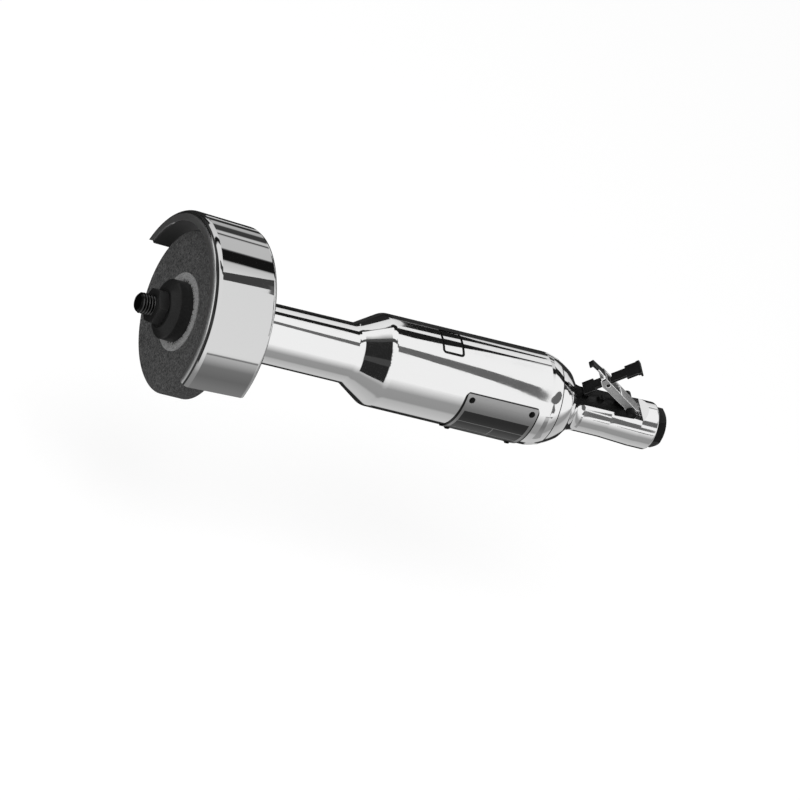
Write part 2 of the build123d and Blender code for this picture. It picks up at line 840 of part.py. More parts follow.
# Gasket in the seam between the barrel and the handle
with BuildPart() as housing_gasket:
    tube(x_seam, x_handle, spigot_r, shoulder_r)
finish(housing_gasket, "housing_gasket")

# Throttle handle: spigot in the barrel, dome, neck, grip and inlet boss
with BuildPart() as throttle_handle:
    dome_r = shoulder_r - dome_drop
    slope_r = dome_r - slope_drop
    grip_r = grip_d / 2
    boss_r = boss_d / 2
    dome_mid = ((x_handle + x_dome) / 2, (shoulder_r + dome_r) / 2 + dome_bulge)
    with BuildSketch(Plane.XZ):
        with BuildLine():
            Polyline((x_motor_end, 0), (x_motor_end, spigot_r), (x_handle, spigot_r), (x_handle, shoulder_r))
            ThreePointArc((x_handle, shoulder_r), dome_mid, (x_dome, dome_r))
            Line((x_dome, dome_r), (x_slope, slope_r))
            neck_sag = slope_r - grip_r
            RadiusArc((x_slope, slope_r), (x_grip, grip_r), -(neck_len**2 + neck_sag**2) / (2 * neck_sag))
            Polyline(
                (x_grip, grip_r),
                (x_grip_end, grip_r),
                (x_boss, boss_r),
                (x_handle_end, boss_r),
                (x_handle_end, 0),
                (x_motor_end, 0),
            )
        make_face()
    revolve(axis=Axis.X)
    fillet(rings_at(throttle_handle, x_dome), dome_blend)
    fillet(rings_at(throttle_handle, x_handle_end), boss_edge)
    # Air chest in front of the handle
    rod(x_motor_end, x_handle + chest_end, spigot_r - spigot_wall, mode=Mode.SUBTRACT)
    # Flat on top, from the neck to the boss, where it runs out, and the pocket under the lever's heel
    flat_top = flat_z + barrel_d
    with BuildSketch(Plane.XZ):
        with BuildLine():
            Polyline(
                (x_flat, flat_z),
                (x_flat_end, flat_z),
                (x_flat_end + barrel_d, flat_top),
                (x_flat, flat_top),
                close=True,
            )
        make_face()
    extrude(amount=barrel_d, both=True, mode=Mode.SUBTRACT)
    with Locations((x_flat_end - pocket_end - pocket_len / 2, 0, flat_z - pocket_deep)):
        Box(
            pocket_len,
            pocket_width,
            barrel_d,
            align=(Align.CENTER, Align.CENTER, Align.MIN),
            mode=Mode.SUBTRACT,
        )
    # Inlet bore, passages and the cross bore of the valve
    rod(x_screen, x_handle_end, bushing_spigot_d / 2, mode=Mode.SUBTRACT)
    with Locations((x_plunger, 0, -inlet_drop)):
        Cylinder(
            inlet_passage_d / 2,
            x_screen - x_plunger,
            rotation=(0, 90, 0),
            align=(Align.CENTER, Align.CENTER, Align.MIN),
            mode=Mode.SUBTRACT,
        )
    with Locations((x_plunger, 0, passage_z)):
        Cylinder(
            passage_d / 2,
            x_plunger - x_handle - chest_end / 2,
            rotation=(0, 90, 0),
            align=(Align.CENTER, Align.CENTER, Align.MAX),
            mode=Mode.SUBTRACT,
        )
    with Locations((x_plunger, 0, seat_top)):
        Cylinder(
            valve_bore_d / 2,
            grip_d,
            align=(Align.CENTER, Align.CENTER, Align.MAX),
            mode=Mode.SUBTRACT,
        )
        Cylinder(
            upper_bore_d / 2,
            flat_z - plunger_bushing_len - seat_top,
            align=(Align.CENTER, Align.CENTER, Align.MIN),
            mode=Mode.SUBTRACT,
        )
        Cylinder(
            plunger_bushing_d / 2,
            grip_d,
            align=(Align.CENTER, Align.CENTER, Align.MIN),
            mode=Mode.SUBTRACT,
        )
    for place in bracket_screw_places:
        with Locations((x_flat + place, 0, flat_z)):
            Cylinder(bracket_screw_d / 2, 2 * bracket_screw_deep, mode=Mode.SUBTRACT)
finish(throttle_handle, "throttle_handle")

# Hex inlet bushing with its tapped bore
with BuildPart() as inlet_bushing:
    hex_bar(x_handle_end, x_inlet, bushing_across)
    face_r = bushing_across / 2
    turn(
        (x_handle_end, 0),
        (x_handle_end, face_r / cos(radians(30))),
        (x_inlet - bushing_edge, face_r / cos(radians(30))),
        (x_inlet, face_r),
        (x_inlet, 0),
        mode=Mode.INTERSECT,
    )
    rod(x_spigot, x_handle_end, bushing_spigot_d / 2 - bushing_fit)
    rod(x_spigot, x_inlet, inlet_minor_d / 2, mode=Mode.SUBTRACT)
    turn(
        (x_inlet - inlet_chamfer, 0),
        (x_inlet - inlet_chamfer, inlet_minor_d / 2),
        (x_inlet, inlet_minor_d / 2 + inlet_chamfer),
        (x_inlet, 0),
        mode=Mode.SUBTRACT,
    )
finish(inlet_bushing, "inlet_bushing")

# Inlet screen, a pierced disc
with BuildPart() as inlet_screen:
    rod(x_screen, x_spigot, bushing_spigot_d / 2 - bushing_fit)
    with Locations(Plane.YZ.offset(x_screen)):
        with HexLocations(screen_pitch / 2, 3, 3):
            Cylinder(screen_hole_d / 2, 4 * screen_t, mode=Mode.SUBTRACT)
finish(inlet_screen, "inlet_screen")

# The grip below its flat, as the space that the ears of the lever bracket leave free
with BuildPart() as grip_core:
    turn((x_grip, 0), (x_grip, grip_r), (x_grip_end, grip_r), (x_boss, boss_r), (x_boss, 0))
    with Locations((x_grip_end, 0, flat_z)):
        Box(
            grip_d * 4,
            grip_d * 2,
            grip_d * 2,
            align=(Align.CENTER, Align.CENTER, Align.MAX),
            mode=Mode.INTERSECT,
        )

# Lever bracket: front stop with a ramp, a wing beside it, strip along the flat, side rails and pivot ears
ear_inner = lever_width / 2 + ear_gap
ear_outer = ear_inner + ear_t
x_stop_end = x_flat + stop_len
x_far_rail = x_flat + far_rail_start
x_strip_end = x_plunger + strip_tail
x_ear_end = x_pivot + ear_r
with BuildPart() as lever_bracket:
    for side in (-1, 1):
        with BuildSketch(Plane.XZ.offset(side * ear_outer)):
            with Locations((x_ear_end, flat_z + rail_height)):
                Rectangle(ear_pad_len, grip_d / 4, align=(Align.MAX, Align.MAX))
            with Locations((x_pivot, pivot_z)):
                Circle(ear_r)
        extrude(amount=side * ear_pad_t)
    add(grip_core.part, mode=Mode.SUBTRACT)
    with BuildSketch(Plane.XZ):
        with BuildLine():
            Polyline(
                (x_flat, flat_z),
                (x_flat, strip_z),
                (x_stop_end - stop_top, flat_z + stop_height),
                (x_stop_end, flat_z + stop_height),
                (x_stop_end, flat_z),
                close=True,
            )
        make_face()
    extrude(amount=stop_width / 2, both=True)
    chamfer(lever_bracket.faces().sort_by(Axis.Z)[-1].edges().filter_by(Axis.X), stop_edge)
    with BuildSketch(Plane.XY.offset(flat_z)):
        with BuildLine():
            Polyline(
                (x_flat, stop_width / 2),
                (x_flat, -wing_reach),
                (x_flat + wing_straight, -wing_reach),
                (x_stop_end, -ear_outer),
                (x_far_rail, -ear_outer),
                (x_far_rail, stop_width / 2),
                close=True,
            )
        make_face()
    extrude(amount=strip_t)
    with Locations(((x_far_rail + x_strip_end) / 2, 0, flat_z)):
        Box(
            x_strip_end - x_far_rail,
            strip_width,
            strip_t,
            align=(Align.CENTER, Align.CENTER, Align.MIN),
        )
    for side, x_rail in ((1, x_stop_end), (-1, x_far_rail)):
        with BuildSketch(Plane.XZ.offset(side * (ear_inner + ear_t / 2))):
            with BuildLine():
                Polyline(
                    (x_rail, flat_z),
                    (x_rail, strip_z),
                    (x_plunger - rail_lead / 2, strip_z),
                    (x_plunger, flat_z + rail_height),
                    (x_pivot - ear_r, flat_z + rail_height),
                    (x_pivot - ear_r, pivot_z),
                )
                ThreePointArc(
                    (x_pivot - ear_r, pivot_z),
                    (x_pivot, pivot_z + ear_r),
                    (x_ear_end, pivot_z),
                )
                Polyline((x_ear_end, pivot_z), (x_ear_end, flat_z), (x_rail, flat_z))
            make_face()
        extrude(amount=ear_t / 2, both=True)
    with Locations((x_pivot, 0, pivot_z)):
        Cylinder(lever_pin_d / 2, 4 * ear_inner, rotation=(90, 0, 0), mode=Mode.SUBTRACT)
    with Locations((x_plunger, 0, flat_z)):
        Cylinder(plunger_d / 2 + ear_gap, 4 * strip_t, mode=Mode.SUBTRACT)
    for place in bracket_screw_places:
        with Locations((x_flat + place, 0, flat_z)):
            Cylinder(bracket_screw_d / 2, 4 * strip_t, mode=Mode.SUBTRACT)
finish(lever_bracket, "lever_bracket")

# Two slotted screws that hold the bracket
with BuildPart() as bracket_screws:
    for place in bracket_screw_places:
        with Locations((x_flat + place, 0, strip_z)):
            Cylinder(
                bracket_screw_head_d / 2,
                bracket_screw_head_t,
                align=(Align.CENTER, Align.CENTER, Align.MIN),
            )
            Cylinder(
                bracket_screw_d / 2,
                bracket_screw_deep + strip_t,
                align=(Align.CENTER, Align.CENTER, Align.MAX),
            )
        with Locations((x_flat + place, 0, strip_z + bracket_screw_head_t)):
            Box(
                bracket_screw_slot,
                2 * bracket_screw_head_d,
                bracket_screw_head_t,
                mode=Mode.SUBTRACT,
            )
finish(bracket_screws, "bracket_screws")

# Lever pin, pressed in the ears
with BuildPart() as lever_pin:
    with Locations((x_pivot, 0, pivot_z)):
        Cylinder(lever_pin_d / 2, 2 * (ear_outer + lever_pin_end), rotation=(90, 0, 0))
finish(lever_pin, "lever_pin")

# Throttle lever, drawn in its own plane: along from the pivot to the tip, and above it
lever_way = (-cos(radians(lever_tilt)), 0, sin(radians(lever_tilt)))
lever_up = (sin(radians(lever_tilt)), 0, cos(radians(lever_tilt)))
lever_plane = Plane(origin=(x_pivot, 0, pivot_z), x_dir=lever_way, z_dir=(0, 1, 0))
lever_deck = Plane(origin=(x_pivot, 0, pivot_z), x_dir=lever_way, z_dir=lever_up)
web_under = lever_top - lever_wall
with BuildPart() as throttle_lever:
    with BuildSketch(lever_plane):
        with BuildLine():
            Polyline(
                (-lever_rear, lever_top),
                (-lever_rear, lever_top - foot_t),
                (-lever_rear / 2, -foot_drop),
                (0, -heel_drop),
                (heel_front, -heel_drop),
                (cheek_rise, -cheek_rise_drop),
                (cheek_mid, -cheek_mid_drop),
                (cheek_front - cheek_bevel, -cheek_drop),
                (cheek_front - lever_wall, -cheek_drop + lever_wall),
                (cheek_front, -tongue_drop),
                (cheek_front + lever_wall, tongue_drop),
                (lever_tip, tongue_drop),
                (lever_tip, lever_top),
                close=True,
            )
        make_face()
    extrude(amount=lever_width / 2, both=True)
    with BuildSketch(lever_plane):
        with Locations((-2 * lever_rear, web_under)):
            Rectangle(2 * lever_tip, 2 * lever_tip, align=(Align.MIN, Align.MAX))
    extrude(amount=lever_width / 2 - lever_wall, both=True, mode=Mode.SUBTRACT)
    # The tongue narrows to the tip, which ends in a lip turned down
    for side in (-1, 1):
        with BuildSketch(lever_deck):
            with BuildLine():
                Polyline(
                    (cheek_front + lever_wall, side * tongue_width / 2),
                    (lever_tip, side * lever_tip_width / 2),
                    (lever_tip + lever_width, side * lever_tip_width / 2),
                    (lever_tip + lever_width, side * lever_width),
                    (cheek_front + lever_wall, side * lever_width),
                    close=True,
                )
            make_face()
        extrude(amount=lever_tip, both=True, mode=Mode.SUBTRACT)
    with BuildSketch(lever_plane):
        with Locations((lever_tip, lever_top)):
            Rectangle(lever_wall, lever_lip, align=(Align.MAX, Align.MAX))
    extrude(amount=lever_tip_width / 2, both=True)
    # The foot narrows behind the pin
    for side in (-1, 1):
        with BuildSketch(lever_deck):
            with BuildLine():
                Polyline(
                    (-foot_start, side * lever_width / 2),
                    (-lever_rear, side * foot_width / 2),
                    (-2 * lever_rear, side * foot_width / 2),
                    (-2 * lever_rear, side * lever_width),
                    (-foot_start, side * lever_width),
                    close=True,
                )
            make_face()
        extrude(amount=lever_tip, both=True, mode=Mode.SUBTRACT)
    # Slot for the lock-off lever, and the two pin holes
    with BuildSketch(lever_deck):
        with Locations((lock_along + (slot_front - slot_rear) / 2, 0)):
            Rectangle(slot_front + slot_rear, lever_width - 2 * lever_wall)
    extrude(amount=2 * lever_top, mode=Mode.SUBTRACT)
    with BuildSketch(lever_plane):
        Circle(lever_pin_d / 2 + pin_run)
        with Locations((lock_along, lock_above)):
            Circle(lock_pin_d / 2)
    extrude(amount=lever_width, both=True, mode=Mode.SUBTRACT)
finish(throttle_lever, "throttle_lever")

# Lock-off pin, pressed in the lever's sides
lock_point = lever_plane.from_local_coords((lock_along, lock_above, 0))
with BuildPart(Plane(origin=lock_point, x_dir=lever_way, z_dir=(0, 1, 0))) as lock_off_pin:
    Cylinder(lock_pin_d / 2, lever_width)
finish(lock_off_pin, "lock_off_pin")

# Lock-off lever, drawn in its own plane: up along the bar from its pin, and behind it
lock_way = (cos(radians(lock_tilt)), 0, sin(radians(lock_tilt)))
lock_plane = Plane(origin=lock_point, x_dir=lock_way, z_dir=(0, 1, 0))
with BuildPart() as lock_off_lever:
    with BuildSketch(lock_plane):
        with Locations(((lock_tab - lock_toe) / 2, 0)):
            Rectangle(lock_tab + lock_toe, lock_t)
        Circle(lock_hub_r)
    extrude(amount=lock_width / 2, both=True)
    # Outside the slot the arm and the toe are as wide as the throttle lever
    with BuildSketch(lock_plane):
        with Locations((lock_tab, 0)):
            Rectangle(lock_tab - lock_waist_rear, lock_t, align=(Align.MAX, Align.CENTER))
        with Locations((-lock_toe, 0)):
            Rectangle(lock_toe - lock_waist_front, lock_t, align=(Align.MIN, Align.CENTER))
    extrude(amount=lock_arm_width / 2, both=True)
    with BuildSketch(lock_plane):
        with Locations((lock_tab, -lock_t / 2)):
            Rectangle(lock_tab_len, lock_t, align=(Align.MAX, Align.MIN))
            Rectangle(lock_t * 0.7, lock_t + lock_lip, align=(Align.MAX, Align.MIN))
    extrude(amount=lock_tab_width / 2, both=True)
    with BuildSketch(lock_plane):
        Circle(lock_pin_d / 2 + pin_run)
    extrude(amount=lock_width, both=True, mode=Mode.SUBTRACT)
    with BuildSketch(lock_plane.offset(lock_width / 2 - lock_notch)):
        Rectangle(lock_notch_len, 4 * lock_hub_r)
    extrude(amount=2 * lock_notch, mode=Mode.SUBTRACT)
finish(lock_off_lever, "lock_off_lever")

# Torsion spring of the lock-off lever, wound on its pin in the notch
coil_start = lock_width / 2 - lock_notch + coil_wire_d
with BuildPart() as lock_off_spring:
    with BuildLine() as coil_path:
        Helix(
            coil_pitch,
            coil_pitch * coil_turns,
            coil_r,
            center=lock_plane.from_local_coords((0, 0, coil_start)),
            direction=(0, 1, 0),
        )
    with BuildSketch(Plane(origin=coil_path.line @ 0, z_dir=coil_path.line % 0)):
        Circle(coil_wire_d / 2)
    sweep()
finish(lock_off_spring, "lock_off_spring")

# Plunger, its rounded tip under the lever, with bushing and O-ring
tip_drop = web_under - plunger_d / 2 - plunger_tip_gap
tip_z = pivot_z + (tip_drop + sin(radians(lever_tilt)) * plunger_ahead) / cos(radians(lever_tilt))
valve_top = seat_top - seat_t - valve_touch_gap
plunger_foot = valve_top + valve_stem_len
with BuildPart() as throttle_plunger:
    with Locations((x_plunger, 0, plunger_foot)):
        Cylinder(plunger_d / 2, tip_z - plunger_foot, align=(Align.CENTER, Align.CENTER, Align.MIN))
    with Locations((x_plunger, 0, tip_z)):
        Sphere(plunger_d / 2)
finish(throttle_plunger, "throttle_plunger")

bushing_foot = flat_z - plunger_bushing_len
oring_z = flat_z - plunger_bushing_len / 2
with BuildPart() as plunger_bushing:
    with Locations((x_plunger, 0, bushing_foot)):
        Cylinder(
            plunger_bushing_d / 2,
            plunger_bushing_len,
            align=(Align.CENTER, Align.CENTER, Align.MIN),
        )
        Cylinder(plunger_d / 2 + plunger_fit, 4 * plunger_bushing_len, mode=Mode.SUBTRACT)
    with Locations((x_plunger, 0, oring_z)):
        Cylinder(plunger_d / 2 + oring_fit + oring_wire_d, oring_wire_d, mode=Mode.SUBTRACT)
finish(plunger_bushing, "plunger_bushing")

with BuildPart() as plunger_oring:
    with Locations((x_plunger, 0, oring_z)):
        Torus(plunger_d / 2 + oring_fit + oring_wire_d / 2, oring_wire_d / 2)
finish(plunger_oring, "plunger_oring")

# Valve seat ring, throttle valve, its spring and the plug below
with BuildPart() as valve_seat:
    with Locations((x_plunger, 0, seat_top)):
        Cylinder(valve_bore_d / 2, seat_t, align=(Align.CENTER, Align.CENTER, Align.MAX))
        Cylinder(seat_bore_d / 2, 4 * seat_t, mode=Mode.SUBTRACT)
finish(valve_seat, "valve_seat")

with BuildPart() as throttle_valve:
    with Locations((x_plunger, 0, valve_top)):
        Cylinder(valve_d / 2, valve_t, align=(Align.CENTER, Align.CENTER, Align.MAX))
        Cylinder(valve_stem_d / 2, valve_stem_len, align=(Align.CENTER, Align.CENTER, Align.MIN))
finish(throttle_valve, "throttle_valve")

spring_top = valve_top - valve_t
plug_top = spring_top - spring_len - 2 * spring_pilot
with BuildPart() as valve_spring:
    coil_height = spring_len - spring_wire_d
    with BuildLine() as spring_path:
        Helix(
            coil_height / spring_turns,
            coil_height,
            (spring_d - spring_wire_d) / 2,
            center=(x_plunger, 0, plug_top + spring_pilot + spring_wire_d / 2),
        )
    with BuildSketch(Plane(origin=spring_path.line @ 0, z_dir=spring_path.line % 0)):
        Circle(spring_wire_d / 2)
    sweep()
finish(valve_spring, "valve_spring")

plug_foot = -(grip_d / 2 - plug_inset)
with BuildPart() as valve_plug:
    with Locations((x_plunger, 0, plug_top)):
        Cylinder(
            valve_bore_d / 2,
            plug_top - plug_foot,
            align=(Align.CENTER, Align.CENTER, Align.MAX),
        )
    with Locations((x_plunger, 0, plug_foot)):
        Box(plug_slot, 2 * valve_bore_d, 2 * plug_slot, mode=Mode.SUBTRACT)
finish(valve_plug, "valve_plug")

# Bare name plate curved round the barrel, and its four drive screws
plate_r = barrel_d / 2 + plate_seat
with BuildPart() as nameplate:
    with BuildSketch(Plane.XZ.rotated((plate_turn - plate_arc / 2, 0, 0))):
        with Locations((plate_mid, plate_r)):
            Rectangle(plate_len, plate_t, align=(Align.CENTER, Align.MIN))
    revolve(axis=Axis.X, revolution_arc=plate_arc)
    with BuildSketch(radial_plane(plate_mid, plate_turn, 0)) as plate_view:
        plate_chord = 2 * (plate_r + plate_t) * sin(radians(plate_arc / 2))
        RectangleRounded(plate_len, plate_chord, plate_corner)
    extrude(plate_view.sketch, amount=barrel_d, mode=Mode.INTERSECT)
    for x, angle in plate_places:
        with Locations(radial_plane(x, angle, plate_r)):
            Cylinder(plate_screw_shank_d / 2, 4 * plate_t, mode=Mode.SUBTRACT)
finish(nameplate, "nameplate")

with BuildPart() as nameplate_screws:
    for x, angle in plate_places:
        with Locations(radial_plane(x, angle, plate_r + plate_t)):
            Cone(
                plate_screw_head_d / 2,
                plate_screw_top_d / 2,
                plate_screw_head_t,
                align=(Align.CENTER, Align.CENTER, Align.MIN),
            )
            Cylinder(
                plate_screw_shank_d / 2,
                plate_screw_deep,
                align=(Align.CENTER, Align.CENTER, Align.MAX),
            )
finish(nameplate_screws, "nameplate_screws")
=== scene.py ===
# %% [markdown]
# # A straight air grinder, dressed for a catalogue picture
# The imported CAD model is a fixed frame: its solids are in the right places and are never moved. This
# lesson lights it like a studio shot of polished metal, gives every solid a finish of its own, and then
# remodels the few pieces whose fine detail the solids leave out, such as the screw thread on the spindle
# and the softened edges of the pressed steel lever.

# %% Load the frame
import json
from math import cos, pi, radians, sin

import bpy
from mathutils import Matrix, Vector


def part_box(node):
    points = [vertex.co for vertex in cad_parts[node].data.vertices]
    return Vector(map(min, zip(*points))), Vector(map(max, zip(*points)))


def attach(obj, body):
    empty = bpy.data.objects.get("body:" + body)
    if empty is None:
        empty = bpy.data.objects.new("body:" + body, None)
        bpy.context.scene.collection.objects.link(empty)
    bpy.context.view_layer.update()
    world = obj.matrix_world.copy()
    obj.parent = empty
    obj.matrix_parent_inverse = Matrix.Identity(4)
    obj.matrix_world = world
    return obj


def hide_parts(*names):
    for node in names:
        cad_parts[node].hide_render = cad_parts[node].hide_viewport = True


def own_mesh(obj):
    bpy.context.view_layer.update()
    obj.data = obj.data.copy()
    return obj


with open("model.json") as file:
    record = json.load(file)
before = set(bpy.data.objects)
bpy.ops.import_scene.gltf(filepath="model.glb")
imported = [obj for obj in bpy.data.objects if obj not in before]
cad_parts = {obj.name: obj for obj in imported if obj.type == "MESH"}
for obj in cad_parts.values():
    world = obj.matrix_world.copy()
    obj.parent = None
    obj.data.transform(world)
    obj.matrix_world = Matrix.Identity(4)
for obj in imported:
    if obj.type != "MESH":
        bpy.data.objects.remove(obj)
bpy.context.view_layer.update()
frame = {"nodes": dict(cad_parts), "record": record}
nodes = frame["nodes"]
scene = bpy.context.scene
slot_of = {row["node"]: row["material_slot"] for row in frame["record"]["subparts"]}
body_of = {node: body for body, members in frame["record"]["behaviour"]["bodies"].items() for node in members}
joints = {joint["name"]: joint for joint in frame["record"]["behaviour"]["joints"]}
mm = 0.001

# %% [markdown]
# ## Camera
# The picture was taken with a long lens from in front of the wheel, above the tool and on the name
# plate's side, so lines that run along the tool stay parallel. An orthographic camera shows that with
# nothing to guess but a direction, a roll and a scale. The wheel's outline, an ellipse, gives the
# direction, and the slant of the barrel gives the roll.

# %% Camera
to_camera = Vector((-0.4446, -0.6760, 0.5875)).normalized()
across = Vector((0.8955, -0.3357, 0.2917))
above = Vector((0, 0.656, 0.755))
roll = radians(13.66)
look_at = Vector((0.2198, -0.0163, -0.0188))
camera_distance = 1.5
picture_width = 0.5952
right = (cos(roll) * across + sin(roll) * above).normalized()
up = to_camera.cross(right)
turned = Matrix((right, up, to_camera)).transposed().to_4x4()

bpy.ops.object.camera_add()
camera = bpy.context.object
camera.name = "catalogue_camera"
camera.data.type = "ORTHO"
camera.data.ortho_scale = picture_width
camera.matrix_world = Matrix.Translation(look_at + camera_distance * to_camera) @ turned
scene.camera = camera
scene.view_settings.view_transform = "Standard"
print("camera at", tuple(round(c, 3) for c in camera.location))

# %% [markdown]
# ## Studio
# Polished metal has hardly any colour of its own: what is seen on it is the room. In a studio the tool
# is wrapped in white card, with a few gaps and black strips that draw dark lines along it. Most of those
# run along the tool, so the far room is described by one angle, counted round the tool's axis from
# straight up towards the name plate's side. A colour ramp over that angle is the room that reflections
# see, and the narrow part of the room that the guard's wall mirrors has a ramp of its own.
#
# Cards hang before that room, each from one place along the tool to another and from one angle to
# another. One in front draws the patch on the cone, with a paler band across it, and the line round the
# guard's rim. One beyond the far side darkens the top of the cone, one behind draws a line on the dome,
# and a low one with shades of its own grades the foot of the guard. The camera sees plain white, and
# dull surfaces are lit by an even soft light.

# %% Cards of the room
room_cards = [
    (-180, 0.60),
    (-170, 0.60),
    (-167, 0.02),
    (-86, 0.03),
    (-83, 0.75),
    (-52, 0.90),
    (-50.5, 0.01),
    (-43, 0.01),
    (-41.5, 1.00),
    (84, 1.00),
    (113, 0.34),
    (140, 0.32),
    (147, 0.50),
    (178, 0.60),
]
guard_cards = [
    (-180, 0.60),
    (-151, 0.50),
    (-108, 0.80),
    (-104, 0.03),
    (-97, 0.03),
    (-96, 0.54),
    (-88, 0.52),
    (-86, 0.06),
    (-75, 0.05),
    (-73, 0.74),
    (-69, 0.72),
    (-68, 0.08),
    (-65.5, 0.08),
    (-64.5, 0.70),
    (-43, 0.70),
    (-42, 0.01),
    (-26, 0.01),
    (-25, 0.74),
    (-8, 0.98),
    (84, 1.00),
    (113, 0.34),
    (140, 0.32),
    (147, 0.50),
    (178, 0.60),
]
low_cards = [
    (87.0, 1.00),
    (87.4, 0.16),
    (88.6, 0.16),
    (89.2, 0.62),
    (95.0, 0.50),
    (103.0, 0.24),
    (118.0, 0.19),
    (136.0, 0.27),
    (165.0, 0.34),
]
guard_sees_x = (0.46, 0.545)
front_card_x = (-0.88, -0.42)
front_card_turn = (-45, 103)
front_band_turn = (42, 59)
cone_card_x = (-0.70, 0.10)
cone_card_turn = (-114, -72)
dome_line_x = (0.545, 0.96)
dome_line_turn = (-44, -29)
low_card_x = (0.47, 0.62)
low_card_turn = (87, 165)
crisp_edge = 0.001
soft_edge = 0.04
black_shade = 0.02
band_shade = 0.06
soft_light = 0.62
white = (1, 1, 1, 1)
print(len(room_cards), "edges of cards along the barrel,", len(guard_cards), "behind the guard")

# %% Node helpers


def add(tree, kind, inputs=None, **settings):
    """Put a node in a tree, set its options, and give its sockets values or links."""
    made = tree.nodes.new(kind)
    for name, value in settings.items():
        setattr(made, name, value)
    for socket, value in (inputs or {}).items():
        if isinstance(value, bpy.types.NodeSocket):
            tree.links.new(value, made.inputs[socket])
        else:
            made.inputs[socket].default_value = value
    return made


def math(tree, operation, *values):
    """One step of arithmetic, as a socket."""
    return add(tree, "ShaderNodeMath", dict(enumerate(values)), operation=operation).outputs[0]


def between(tree, value, low, high):
    """1 where a value lies between two others."""
    above_low = math(tree, "GREATER_THAN", value, low)
    return math(tree, "MULTIPLY", above_low, math(tree, "LESS_THAN", value, high))


def ramp_between(tree, value, low, high):
    """0 at low, 1 at high, straight between and level beyond."""
    ramp = add(tree, "ShaderNodeMapRange", {"Value": value, "From Min": low, "From Max": high})
    return ramp.outputs["Result"]


def blend(tree, mask, low, high):
    """One colour where a mask is 0 and another where it is 1, each a socket or four numbers."""
    mix = add(tree, "ShaderNodeMix", {"Factor": mask, "A": low, "B": high}, data_type="RGBA")
    return mix.outputs["Result"]


def plain_grey(shade):
    """A grey as four numbers."""
    return (shade, shade, shade, 1)


print("helpers for node trees, with greys such as", plain_grey(black_shade))

# %% Studio room
world = bpy.data.worlds.new("studio_room")
scene.world = world
world.use_nodes = True
room = world.node_tree
room.nodes.clear()
way = add(room, "ShaderNodeTexCoord").outputs["Generated"]
parts = add(room, "ShaderNodeSeparateXYZ", {0: way}).outputs
angle = math(room, "ARCTAN2", math(room, "MULTIPLY", parts["Y"], -1.0), parts["Z"])
turn = math(room, "ADD", math(room, "DIVIDE", angle, 2 * pi), 0.5)


def turn_at(degrees):
    """Where an angle round the tool lies on a ramp, from 0 to 1."""
    return degrees / 360 + 0.5


def shades_round(cards):
    """A ramp of greys over the angle round the tool, as a colour."""
    ramp = add(room, "ShaderNodeValToRGB", {"Fac": turn})
    stops = ramp.color_ramp.elements
    stops.remove(stops[1])
    for index, (degrees, shade) in enumerate(cards):
        stop = stops[0] if index == 0 else stops.new(turn_at(degrees))
        stop.position = turn_at(degrees)
        stop.color = plain_grey(shade)
    return ramp.outputs["Color"]


def hang_card(below, x_range, turn_range, colour, edge=crisp_edge):
    """Cover a patch of the room with a colour."""
    in_turn = between(room, turn, turn_at(turn_range[0]), turn_at(turn_range[1]))
    past_start = ramp_between(room, parts["X"], x_range[0] - edge, x_range[0] + edge)
    before_end = ramp_between(room, parts["X"], x_range[1] + edge, x_range[1] - edge)
    patch = math(room, "MULTIPLY", in_turn, math(room, "MULTIPLY", past_start, before_end))
    return blend(room, patch, below, colour)


behind_guard = between(room, parts["X"], *guard_sees_x)
carded = blend(room, behind_guard, shades_round(room_cards), shades_round(guard_cards))
carded = hang_card(carded, front_card_x, front_card_turn, plain_grey(black_shade), soft_edge)
carded = hang_card(carded, front_card_x, front_band_turn, plain_grey(band_shade), soft_edge)
carded = hang_card(carded, cone_card_x, cone_card_turn, plain_grey(black_shade))
carded = hang_card(carded, dome_line_x, dome_line_turn, plain_grey(black_shade))
carded = hang_card(carded, low_card_x, low_card_turn, shades_round(low_cards))
seen = add(room, "ShaderNodeLightPath").outputs
mirrored = add(room, "ShaderNodeBackground", {"Color": carded}).outputs[0]
even = add(room, "ShaderNodeBackground", {"Color": white, "Strength": soft_light}).outputs[0]
backdrop = add(room, "ShaderNodeBackground", {"Color": white}).outputs[0]
lit = add(room, "ShaderNodeMixShader", {0: seen["Is Glossy Ray"], 1: even, 2: mirrored}).outputs[0]
shown = add(room, "ShaderNodeMixShader", {0: seen["Is Camera Ray"], 1: lit, 2: backdrop}).outputs[0]
add(room, "ShaderNodeOutputWorld", {"Surface": shown})
print(world.name, "has", len(room.nodes), "nodes")

# %% [markdown]
# ## Strips of card
# Some strips of card stand nearer than the rest. A dim one crosses the guard. A grey one slants along the
# tube and wanders down along the barrel, growing as it goes, and another goes on along the grip. Black
# ones thicken the dark lines along the tube, the barrel and the grip. To place such a strip, follow the
# view to the round body, mirror it there, and go on for a set distance. A few stations along the tool
# give the strip's two edges: a place and the body's radius there in millimetres, the tilt of its wall,
# and the two angles that the mirroring wall faces. The strip is a grid of one row whose points are moved
# there. The grip tapers, but its strips are given as on a straight wall. A round card hangs behind for
# the dome. Only reflections see them.

